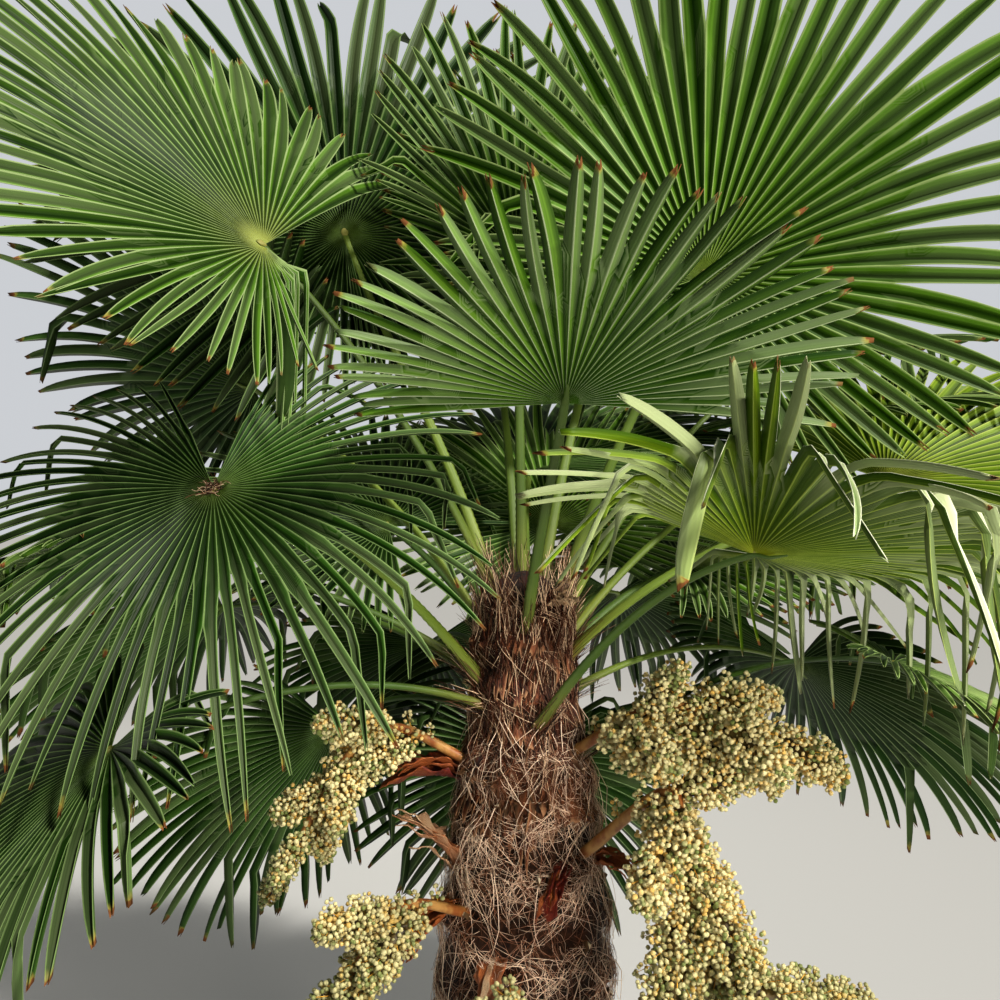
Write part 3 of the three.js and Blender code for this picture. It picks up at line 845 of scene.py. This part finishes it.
FROND_DEFAULTS = dict(
    spread=260, size=1, beside=0.5, skew=0, sag=0.2, cup=0.1, tone="middle", kinks=0.1, kink_step=14,
    bend=(0.5, 1.4), pitch=LEAFLET_PITCH, split=SPLIT, early=0, hang=360, slope=FOLD_SLOPE, slim=1,
    sway=0.034, fold=0, stand=None, foot=None, tuft=0,
)
PLACED_FRONDS = {
    "front_high": dict(
        hub=(50, -250, 1586), aim=(-88, 38), face=(92, 52), spread=200, size=0.78, sag=0.1, cup=0.05,
        beside=0.72, skew=55, foot=(-93, 1210), tone="silver", kinks=0.01, split=11,
    ),
    "right_high": dict(
        hub=(299, 20, 1824), aim=(-30, 62), face=(-106, -7), spread=270, size=1.26, kinks=0.03
    ),
    "left_high": dict(
        hub=(-408, -100, 1845), aim=(222, 17), face=(-39, 38), spread=256, size=1.14, sag=0.15,
        beside=0.25, skew=-42, foot=(196, 1290), tone="bright", kinks=0.03, split=12, hang=98,
        pitch=4.4, slope=0.36, early=5,
    ),
    "left_back_high": dict(
        hub=(-351, 350, 1980), aim=(130, 74), face=(-80, 14), spread=368, size=1.28, tone="deep", kinks=0.05
    ),
    "back_top": dict(
        hub=(154, 300, 1860), aim=(110, 82), face=(-90, 8), spread=230, size=1.05, kinks=0.05
    ),
    "left_back_middle": dict(
        hub=(-519, 300, 1665), aim=(172, 27), face=(84, 46), spread=230, size=1.1, sag=0.3, tone="deep"
    ),
    "left_front_low": dict(
        hub=(-457, -200, 1467), aim=(-84, -40), face=(-100, 50), spread=320, size=0.98, sag=0.62,
        cup=0.14, foot=(205, 1140), tone="deep", kinks=0.2, slim=0.7, split=8, tuft=70,
    ),
    "right_front_middle": dict(
        hub=(290, -350, 1379), aim=(-39, 10), face=(102, 58), spread=290, cup=0.2, fold=0.36, stand=-67,
        foot=(-80, 1080), tone="waxy", kinks=0.45, kink_step=11, pitch=4.4, slim=0.5, split=9,
        bend=(0.2, 1.4), sway=0.11,
    ),
    "right_middle": dict(
        hub=(594, 0, 1483), aim=(6, 22), face=(-120, 50), spread=250, size=0.95, sag=0.4, cup=0.15,
        tone="lime", kinks=0.12,
    ),
    "right_low": dict(
        hub=(560, -120, 1200), aim=(-8, -18), face=(172, 72), size=0.72, sag=0.6, foot=(-22, 1030),
        kinks=0.15,
    ),
    "top": dict(hub=(-10, 150, 1890), aim=(80, 82), face=(-86, 8), spread=140, size=0.95, kinks=0.05),
    "right_back_middle": dict(hub=(639, 350, 1610), aim=(32, 18), face=(212, 70), sag=0.45, cup=0.15),
    "back_middle": dict(hub=(26, 450, 1520), aim=(60, 30), face=(-110, 50), sag=0.4, cup=0.15, tone="deep"),
    "inner_back": dict(
        hub=(60, 330, 1400), aim=(100, 50), face=(-85, 40), spread=280, size=0.8, sag=0.25, beside=0.7,
        kinks=0.08,
    ),
    "inner_left": dict(
        hub=(-250, 220, 1400), aim=(160, 32), face=(-65, 50), spread=270, size=0.8, sag=0.3, beside=0.65,
        tone="deep",
    ),
    "inner_right": dict(
        hub=(310, 250, 1330), aim=(30, 24), face=(-135, 60), spread=270, size=0.8, sag=0.3, beside=0.65,
        tone="bright",
    ),
}
# The tiers' tones paint light and shade: bright up top in the sun, deep lower down in the crown's shade.
TIERS = {
    "upper": dict(bearings=(34, 96), rise=44, reach=700, dip=20, sag=0.4, tone="bright"),
    "middle": dict(bearings=(58, 116, 180), rise=13, reach=720, dip=22, sag=0.5, tone="middle"),
    "low": dict(bearings=(32, 70, 108, 152, 212), rise=-6, reach=660, dip=26, sag=0.6, tone="deep"),
    "drooping": dict(bearings=(88, 138), rise=-32, reach=560, dip=28, sag=0.45, tone="deep"),
}


def all_fronds():
    """The fronds placed one by one and those in tiers behind them, each with all its values."""
    fronds = dict(PLACED_FRONDS)
    for tier, (name, row) in enumerate(TIERS.items()):
        for place, bearing in enumerate(row["bearings"]):
            lift = row["rise"] + (STAGGER if place % 2 else -STAGGER)
            fronds[f"{name}_{place + 1}"] = dict(
                hub=HEART + direction(bearing, lift) * row["reach"], aim=(bearing, lift - row["dip"]),
                face=(bearing + 180, 90 - lift + row["dip"]), sag=row["sag"], cup=0.15,
                size=0.9 + 0.14 * chance(place, tier + 7), tone=row["tone"], kinks=0.2,
            )
    return {name: {**FROND_DEFAULTS, **frond} for name, frond in fronds.items()}


def fan_axes(frond):
    """The fan's own axes: out along the longest leaflet, the upper side, and across to the left."""
    out = direction(*frond["aim"])
    upper = across(direction(*frond["face"]), out)
    return out, upper, upper.cross(out)


def standing(frond, angle):
    """From 0 to 1, how far leaflets near one angle of the fan stand up instead of folding over."""
    if frond["stand"] is None:
        return 0
    return math.exp(-(((angle - frond["stand"]) / 14) ** 2))


def leaflet_length(frond, angle):
    """Leaflets are longest along the fan's axis and shortest beside the petiole."""
    fall = ((angle - frond["skew"]) / (frond["spread"] / 2 + abs(frond["skew"]))) ** 2
    share = 1 - (1 - frond["beside"]) * fall
    return frond["size"] * BLADE_RADIUS * share * (1 - 0.3 * standing(frond, angle))


Station = namedtuple("Station", "place heading normal side")


def rib_path(frond, angle, length, kink=None, sway=0):
    """Stations along a rib, each with its place, heading, upper side and side. It arches down under
    its own weight and sways to a side, and a kinked leaflet gives way at one step and hangs there."""
    out, upper, left = fan_axes(frond)
    stands = standing(frond, angle)
    turn = math.radians(angle)
    heading = out * math.cos(turn) + left * math.sin(turn) + upper * frond["cup"] * (1 - math.cos(turn))
    heading = (heading + upper * 0.3 * stands).normalized()
    step = length / RIB_STEPS
    place = Vector(frond["hub"])
    stations = []
    for i in range(RIB_STEPS + 1):
        normal = across(upper, heading)
        side = heading.cross(normal)
        stations.append(Station(place.copy(), heading, normal, side))
        arch = frond["sag"] * 2 * (i + 1) * step / (RIB_STEPS * BLADE_RADIUS)
        crease = frond["fold"] / CREASE_STEPS if SPLIT < i + 1 <= SPLIT + CREASE_STEPS else 0
        bend = (arch + crease) * (1 - stands)
        down = -UP + heading * heading.z
        if kink and kink[0] <= i + 1 < kink[0] + 2:
            heading = heading + down * kink[1]
        if i >= SPLIT:
            heading = heading + heading.cross(normal) * sway * (1 - stands)
        heading = (heading + down * bend - upper * 0.15 * bend).normalized()
        place += heading * step
    return stations


class Leaflet(namedtuple("Leaflet", "rib edges splits length fold twist slim fork")):
    """One leaflet of a fan: joined to its neighbours up to where each side parts, free from there."""

    def margin(self, row, hand):
        """A point on the leaflet's left or right margin."""
        split = self.splits[hand]
        edge = self.edges[hand]
        if row <= split:
            return edge[row].place + edge[row].normal * (self.fold / 2 * row / split)
        at, parts = self.rib[row], self.rib[split]
        offset = edge[split].place + edge[split].normal * self.fold / 2 - parts.place
        wide, high, ahead = (offset.dot(axis) for axis in (parts.side, parts.normal, parts.heading))
        free = (row - split) / (RIB_STEPS - split)
        spread = stepped(FREE_WIDTHS, free)
        spread *= self.slim + (1 - self.slim) * max(0, 1 - 8 * free)
        offset = at.side * (wide * spread) + at.normal * (high * (1.15 * spread + 0.1))
        turn = Quaternion(at.heading, self.twist * free)
        return at.place + turn @ offset + at.heading * ahead * (1 - free)

    def point(self, row, share):
        """share runs from -1 to 1 across the leaflet."""
        at = self.rib[row]
        keel = at.place - at.normal * (self.fold / 2 * min(1, row / min(self.splits)))
        if row == RIB_STEPS:
            keel = keel - at.heading * self.fork * self.length
        return keel.lerp(self.margin(row, 0 if share > 0 else 1), abs(share))


def petiole_course(frond):
    """The petiole rises steeply out of the fibre, bends over to the hub and ends under the blade."""
    hub = Vector(frond["hub"])
    from_heart = hub - HEART
    rise = math.atan2(from_heart.z, math.hypot(hub.x, hub.y))
    upright = min(max((rise + 0.6) / 1.8, 0), 1)
    own_foot = (math.degrees(math.atan2(hub.y, hub.x)), TRUNK_HEIGHT * (0.8 + 0.165 * upright))
    foot = root_point(*(frond["foot"] or own_foot))
    span = (hub - foot).length
    direct = (hub - foot).normalized().lerp(UP, 0.3).normalized()
    out, upper, _ = fan_axes(frond)
    arrive = from_heart.normalized().lerp(out, 0.35).normalized()
    course = bezier([foot, foot + direct * 0.4 * span, hub - arrive * 0.3 * span, hub], 30)
    under = [hub + out * ahead - upper * (7 + 0.02 * ahead) for ahead in (20, 45)]
    return in_metres(course.points + under)


def make_frond(name, frond, number, finishes):
    count = round(frond["spread"] / frond["pitch"])
    pitch = frond["spread"] / count
    half_width = math.radians(pitch) / 2 * frond["size"] * BLADE_RADIUS * frond["split"] / RIB_STEPS
    fold = half_width * frond["slope"]
    shape = Shape()
    borders = []
    splits = []
    for i in range(count + 1):
        angle = -frond["spread"] / 2 + i * pitch
        borders.append(rib_path(frond, angle, leaflet_length(frond, angle)))
        early = frond["early"] * max(0, angle / 100)
        parting = frond["split"] - 1 + round(3 * chance(i, number + 40) - early)
        splits.append(HANG_SPLIT if angle > frond["hang"] else parting)
    for i in range(count):
        angle = -frond["spread"] / 2 + (i + 0.5) * pitch
        length = leaflet_length(frond, angle) * (0.91 + 0.09 * chance(i, number + 11))
        slim = frond["slim"]
        slim += (1.6 - slim) * standing(frond, angle)
        kink = None
        if angle > frond["hang"]:
            length = max(length, (0.42 + 0.2 * chance(i, 9)) * frond["size"] * BLADE_RADIUS)
            kink = (HANG_SPLIT + 1 + round(2 * chance(i, 5)), 1.2)
            slim = 2
        elif chance(i, number + 23) < frond["kinks"]:
            least, most = frond["bend"]
            yielding = least + (most - least) * chance(i, number + 31)
            kink = (frond["kink_step"] + round(3 * chance(i, number + 29)), yielding)
        sway = frond["sway"] * (chance(i, number + 51) - 0.5)
        rib = rib_path(frond, angle, length, kink, sway)
        twist = math.radians(50 * (chance(i, number + 37) - 0.5))
        fork = 0.05 * chance(i, number + 57)
        leaflet = Leaflet(rib, borders[i:i + 2], splits[i:i + 2], length, fold, twist, slim, fork)

        def place(point):
            return leaflet.point(row_of(point, RIB_STEPS), point.x) * MM

        shape.add(LEAFLET_STRIP, place, chance(i, number + 43))
    blade = shape.finish(
        f"fan_{name}", finishes, "frond", [f"frond_{name}"], weld=1e-5, thickness=LEAF_THICKNESS
    )
    blade.data.set_sharp_from_angle(angle=math.radians(32))


def make_petiole(name, frond, number, petiole):
    course = petiole_course(frond)
    rows = 2 * round(course.length / PETIOLE_STEP)
    hub_share = (course.length - UNDER_BLADE) / course.length

    def size(share):
        taper = PETIOLE_BASE_RADIUS + (PETIOLE_TIP_RADIUS - PETIOLE_BASE_RADIUS) * min(1, share / hub_share)
        beyond = max(0, (share - hub_share) / (1 - hub_share))
        flare = 1 + 1.1 * math.exp(-share / 0.04)
        tooth = 1.09 if round(share * (rows - 2)) % 2 else 0.98
        width = taper * flare * (1 - 0.7 * beyond)
        return width * tooth * MM, width * 0.62 * MM

    shape = Shape()
    shape.add_limb(strip_shape(8, rows), course, size, fan_axes(frond)[1], chance(number, 3))
    shape.finish(f"petiole_{name}", [petiole], "frond")


def make_hastula(name, frond, hastula):
    """The small tongue on the hub's upper side, with the blade's first folds gathered under it."""
    out, upper, left = fan_axes(frond)
    knob = bmesh.new()
    turn = Matrix((left, out, upper)).transposed().to_4x4()
    place = Matrix.Translation((Vector(frond["hub"]) + upper * 2 + out * 4) * MM)
    squash = Matrix.Diagonal((0.007, 0.009, 0.003, 1))
    bmesh.ops.create_uvsphere(knob, u_segments=14, v_segments=8, radius=1, matrix=place @ turn @ squash)
    for vert in knob.verts:
        bumps = [noise.noise(vert.co * 150 + UP * shift) for shift in (0, 10, 20)]
        vert.co += Vector(bumps) * 0.002
    add_piece(f"hastula_{name}", as_mesh(knob, f"hastula_{name}"), [hastula])


def make_tuft(name, frond, number, hair):
    """Brown fibre left on an old fan's hub."""
    out, upper, left = fan_axes(frond)
    draw = random.Random(300 + number)
    shape = Shape()
    for _ in range(frond["tuft"]):
        start = Vector(frond["hub"]) + out * draw.uniform(-8, 14) + left * draw.uniform(-12, 12) + upper * 2
        heading = (upper + out * draw.uniform(-1.2, 1.2) + left * draw.uniform(-1.4, 1.4)).normalized()
        reach = draw.uniform(12, 34)
        bend = Vector([draw.uniform(-9, 9) for _ in range(3)])
        points = [start, start + heading * reach * 0.5 + bend, start + heading * reach - UP * 6]
        course = bezier([point * MM for point in points], STRAND_STEPS)
        shape.add_limb(STRAND_STRIP, course, strand_size(draw.uniform(0.5, 1)), out, draw.random())
    shape.finish(f"tuft_{name}", [hair], "fibre")


# Fruit bunches

BUNCH_DEFAULTS = dict(branches=8, narrow=0.45, parts=1)
BUNCHES = {
    "right_upper": dict(
        foot=(-28, 1040), knots=[(215, -115, 1135), (355, -145, 1100)], spray=160, narrow=0.2
    ),
    "right_lower": dict(
        foot=(-40, 880), knots=[(215, -195, 1025), (220, -215, 905), (270, -235, 790), (410, -250, 690)],
        spray=128, branches=12, narrow=-0.8, parts=2,
    ),
    "left_upper": dict(foot=(196, 1020), knots=[(-235, -30, 1080), (-385, -40, 870)], spray=130),
    "left_lower": dict(foot=(222, 800), knots=[(-200, -150, 835), (-310, -200, 620)], spray=130),
    "front_low": dict(foot=(-98, 700), knots=[(-40, -260, 730), (-70, -330, 560)], spray=110, branches=6),
    "back": dict(foot=(92, 990), knots=[(10, 240, 1100), (60, 440, 860)], spray=150, branches=7),
}


def make_sprig(length, seed):
    """A thin side twig set with fruit, along +Z from the origin. Slot 0 is fruit and slot 1 twig."""
    draw = random.Random(seed)
    bm = blank()
    shade = bm.verts.layers.float["shade"]
    lift = Matrix.Translation((0, 0, length / 2))
    bmesh.ops.create_cone(bm, cap_ends=True, segments=4, radius1=0.9, radius2=0.5, depth=length, matrix=lift)
    for face in bm.faces:
        face.material_index = 1
    count = round(length / BEAD_PITCH)
    for i in range(count):
        along = length * (0.25 + 0.77 * (i + draw.uniform(0, 0.6)) / count)
        turn = golden(i, draw.uniform(-25, 25))
        off = BEAD_RADIUS * draw.uniform(0.9, 2.4) * (1 if i < count - 1 else 0)
        radius = BEAD_RADIUS * draw.uniform(0.8, 1.12)
        place = Matrix.Translation(ring(turn, off, along))
        tip = Matrix.Rotation(draw.uniform(0, 3), 4, "X") @ Matrix.Diagonal((1, 1, 0.86, 1))
        bead = bmesh.ops.create_icosphere(bm, subdivisions=1, radius=radius * 1.06, matrix=place @ tip)
        tone = draw.random()
        for vert in bead["verts"]:
            vert[shade] = tone
    return as_mesh(bm, "sprig")


def room_ahead(start, heading, middle, axis, half_length, half_width):
    """How far a twig may run before it leaves the spray's egg shape."""

    def squeezed(vector):
        along = vector.dot(axis)
        return axis * (along / half_length) + (vector - axis * along) / half_width

    origin, ray = squeezed(start - middle), squeezed(heading)
    a, b, c = ray.dot(ray), origin.dot(ray), origin.dot(origin) - 1
    return (-b + math.sqrt(max(b * b - a * c, 0))) / a


def core_shape():
    """A round body of radius 1 for the dark inside of a spray: painted shade that stands in for the shade
    between the fruit.
    """
    bm = blank()
    bmesh.ops.create_uvsphere(bm, u_segments=12, v_segments=9, radius=1)
    return as_mesh(bm, "core")


def make_bunch(name, bunch, number, sprigs, core, finishes):
    """A stalk with its sprays of fruit. Slots: 0 fruit, 1 twig, 2 stalk and 3 the dark cores of painted
    shade.
    """
    draw = random.Random(900 + number)
    course = through([root_point(*bunch["foot"]), *map(Vector, bunch["knots"])], 30)
    shapes = [Shape() for _ in range(bunch["parts"])]

    def stalk_size(share):
        half = (STALK_BASE_RADIUS + (STALK_TIP_RADIUS - STALK_BASE_RADIUS) * share) * MM
        return half, half * 0.8

    shapes[0].add_limb(LIMB_STRIP, in_metres(course.points), stalk_size, SLANT, 0.5, 2)

    def add_sprig(shape, start, heading, room):
        best = min(range(len(SPRIG_LENGTHS)), key=lambda k: abs(SPRIG_LENGTHS[k] - room))
        mesh = sprigs[best][draw.randrange(SPRIG_KINDS)]
        turn = UP.rotation_difference(heading) @ Quaternion(UP, draw.uniform(0, 6.28))
        stretch = min(max(room / SPRIG_LENGTHS[best], 0.85), 1.15)

        def place(point):
            return (start + turn @ (point * stretch)) * MM

        shape.add(mesh, place)

    branches = bunch["branches"]
    for i in range(branches):
        shape = shapes[i * len(shapes) // branches]
        along = i / (branches - 1)
        share = 0.27 + 0.71 * along
        tangent = course.heading(share)
        turn = Quaternion(tangent, golden(i, 30 * number + 120))
        outward = turn @ across(UP, tangent)
        heading = (tangent + outward * (0.1 if along == 1 else 0.9) - UP * 0.35).normalized()
        reach = bunch["spray"] * (1.1 - bunch["narrow"] * along) * (1 - 0.4 * max(0, heading.z))
        foot = course.at(share)
        middle = foot + heading * 0.44 * reach
        branch = in_metres([foot + heading * d for d in (0, 0.5 * reach, 0.95 * reach)])
        shape.add_limb(LIMB_STRIP, branch, strand_size(TWIG_RADIUS), SLANT, 0.6, 1)
        upright = UP.rotation_difference(heading)

        def place_core(point):
            bulge = 1 + 0.3 * noise.noise(point * 2 + Vector((i, number, 0)))
            x, y, z = point
            size = Vector((x * CORE_HALF_WIDTH, y * CORE_HALF_WIDTH, z * CORE_HALF_LENGTH))
            return (middle + upright @ (size * reach * bulge)) * MM

        # A dark core of painted shade inside the spray.
        shape.add(core, place_core, 0, 3)
        twigs = round(reach * TWIG_DENSITY)
        side = across(outward, heading)
        for k in range(twigs):
            step = (k + 0.5) / twigs
            start = foot + heading * (reach * (0.02 + 0.9 * step))
            spin = Quaternion(heading, golden(k, draw.uniform(-20, 20)))
            lean = heading * (0.35 + 0.9 * step) + (spin @ side) * 0.95
            lean = (lean - UP * 0.1).normalized()
            room = room_ahead(
                start, lean, middle, heading, SPRAY_HALF_LENGTH * reach, SPRAY_HALF_WIDTH * reach
            )
            add_sprig(shape, start, lean, min(room * draw.uniform(0.75, 1.15), SPRIG_LENGTHS[-1]))
    for k in range(STALK_SPRIGS):
        share = 0.16 + 0.8 * (k + draw.random()) / STALK_SPRIGS
        tangent = course.heading(share)
        spin = Quaternion(tangent, golden(k))
        lean = (tangent * 0.7 + (spin @ across(UP, tangent))).normalized()
        add_sprig(shapes[0], course.at(share), lean, draw.uniform(22, 40))
    for part, shape in enumerate(shapes):
        suffix = f"_{part + 1}" if part else ""
        shape.finish(f"fruit_{name}{suffix}", finishes, "fruit", [f"bunch_{name}"], weld=1e-7)


# Dry bracts

BRACTS = {
    "left_upper": dict(bearing=186, height=985, lift=26, length=150, width=24, shade=0.15),
    "left_middle": dict(bearing=202, height=810, lift=84, length=175, width=22, shade=0.75),
    "left_low": dict(bearing=206, height=800, lift=-4, length=120, width=22, shade=0.7),
    "front_middle": dict(bearing=-52, aim=-118, height=880, lift=-14, length=95, width=19, shade=0),
    "right_middle": dict(bearing=-24, height=868, lift=16, length=110, width=18, shade=0.3),
    "front_low": dict(bearing=-112, height=750, lift=-30, length=95, width=20, shade=0.8),
    "crown_right": dict(bearing=-52, height=1265, lift=52, length=75, width=13, shade=1.4),
}


def make_bract(name, bract, number, finish):
    """A torn sheath, curled and crumpled, with a few shreds split off its edges."""
    lift, length = bract["lift"], bract["length"]
    aim = bract.get("aim", bract["bearing"])
    foot = root_point(bract["bearing"], bract["height"])
    draw = random.Random(70 + number)
    shape = Shape()
    strip = strip_shape(*BRACT_GRID)
    sideways = direction(aim - 90, 0)
    shreds = [(0, 1, 1)]
    for _ in range(BRACT_SHREDS):
        shreds.append((draw.uniform(-0.9, 0.9), draw.uniform(0.12, 0.3), draw.uniform(0.7, 1.1)))
    for k, (offset, width, reach) in enumerate(shreds):
        drop = draw.uniform(-14, 16) if k else 0
        middle = foot + direction(aim, lift + drop) * 0.55 * length
        tip = foot + direction(aim + draw.uniform(-9, 9), lift - 30 + drop) * length * reach
        course = bezier([foot, middle, tip], 24)

        def place(point):
            share = (point.y + 1) / 2
            heading = course.heading(share)
            normal = sideways.cross(heading).normalized()
            taper = 0.35 + 0.65 * math.sin(math.pi * min(1, share * 0.75 + 0.18))
            taper *= min(1, (1.02 - share) * 9)
            torn = 1 + 0.5 * noise.noise(Vector((share * 9, number * 3.1 + k, point.x))) * abs(point.x)
            x = (offset + point.x * width) * bract["width"] * taper * torn
            crumple = 9 * noise.noise(Vector((x / 16, share * 6, number + k * 7)))
            crumple += 3 * noise.noise(Vector((x / 5, share * 17, number + k * 3)))
            curl = 0.022 * x * x + crumple * min(1, 4 * share)
            return (course.at(share) + sideways * x + normal * (curl + 2 * k)) * MM

        shape.add(strip, place, min(1.5, bract["shade"] + draw.uniform(-0.15, 0.2)))
    shape.finish(f"sheath_{name}", [finish, finish], "bract", [f"bract_{name}"], thickness=BRACT_THICKNESS)


# Assembly

# For the upper and the under side of each tone of leaf: its lit, deep, heart and rib colours, and
# for some its heart's glow and the colour and strength of its pale bloom. The rib colour is a pale
# line along each fold's ridge, partly the rib's own colour and partly painted highlight; the bloom is
# partly the leaf's own wax and partly painted sheen. The tones also paint light: "deep" is darkened
# for fronds that stand in shade, "bright" is lighter for sunlit ones and "lime" paints light shining
# through the leaves.
LEAF_TONES = {
    "silver": (
        ("5e8e18", "102c00", "7c8e30", "b4c888"),
        ("6c982a", "0e3000", "3c6008", "ccd8ac", 0.8, "b0c48c", 0.3),
    ),
    "bright": (
        ("5a8a1c", "081e00", "bcc45c", "a9bf80", 0.75, "98b070", 0.2),
        ("5c8420", "183c00", "a0ae50", "b9c98e"),
    ),
    "middle": (("5c8c1c", "102c00", "7f9434", "a4bc72"), ("688e2c", "163800", "7f9434", "b8ca90")),
    "deep": (("2c5410", "041400", "5a7028", "7c9858"), ("3a5e20", "0a2202", "5a7028", "88a06c")),
    "lime": (("7c9a18", "304c04", "a0a434", "b4c45c", 0.7), ("84a028", "385608", "a9ac48", "bccc6c", 0.7)),
    "waxy": (
        ("ccd4a4", "86a062", "a9b45a", "e6e8cc", 0.3, "c0c898", 0.7),
        ("749010", "284600", "98a020", "a9bc50", 0.7, "aab684", 0.9),
    ),
}

make_camera()
make_studio()

leaf_finishes = {}
for tone, (upper_side, under_side) in LEAF_TONES.items():
    leaf_finishes[tone] = [
        leaf_finish(f"leaf {tone} upper", False, *upper_side),
        leaf_finish(f"leaf {tone} under", True, *under_side),
    ]
petiole = petiole_finish()
hastula = stalk_finish("hastula", "6d7a30", "a09a4c")
combed = hair_finish("combed fibre", "120502", "623019", "f4d0a8")
tangled = hair_finish("tangled fibre", "160803", "8a5638", "ffe2c4")
bark = bark_finish()
bract = bract_finish()
bunch_finishes = [
    fruit_finish(),
    stalk_finish("fruit twig", "b87c20", "e4a834"),
    stalk_finish("fruit stalk", "8a4a1e", "b98a4a"),
    # Painted shade: the dark cores inside the sprays.
    stalk_finish("painted shade core", "281c08", "5c4a1c"),
]

make_bark(bark)
make_hair("upper", combed, combed_strand, 3600, 1, 1050, 1310)
make_hair("middle", tangled, tangled_strand, 4700, 5, 540, 1090)
make_hair("lower", tangled, tangled_strand, 3900, 2, 20, 600)
make_hair("loose", tangled, loose_strand, 260, 3, 120, 1160)
make_hair("fringe", combed, fringe_strand, 480, 4, 1215, 1300)
make_wraps(wrap_finish())
make_stubs(stalk_finish("leaf base", "4a3320", "7a5a38"), stalk_finish("leaf base cut", "c9b490", "efe2c6"))

collars = Shape()
collar_draw = random.Random(77)
for number, (name, frond) in enumerate(all_fronds().items()):
    make_frond(name, frond, number, leaf_finishes[frond["tone"]])
    make_petiole(name, frond, number, petiole)
    make_hastula(name, frond, hastula)
    if frond["tuft"]:
        make_tuft(name, frond, number, combed)
    add_collar(collars, petiole_course(frond), collar_draw)
collars.finish("fibre_collars", [combed], "fibre")

for number, (name, row) in enumerate(BRACTS.items()):
    make_bract(name, row, number, bract)

sprigs = [
    [make_sprig(length, 10 * k + kind) for kind in range(SPRIG_KINDS)]
    for k, length in enumerate(SPRIG_LENGTHS)
]
core = core_shape()
for number, (name, bunch) in enumerate(BUNCHES.items()):
    make_bunch(name, {**BUNCH_DEFAULTS, **bunch}, number, sprigs, core, bunch_finishes)

make_floor()
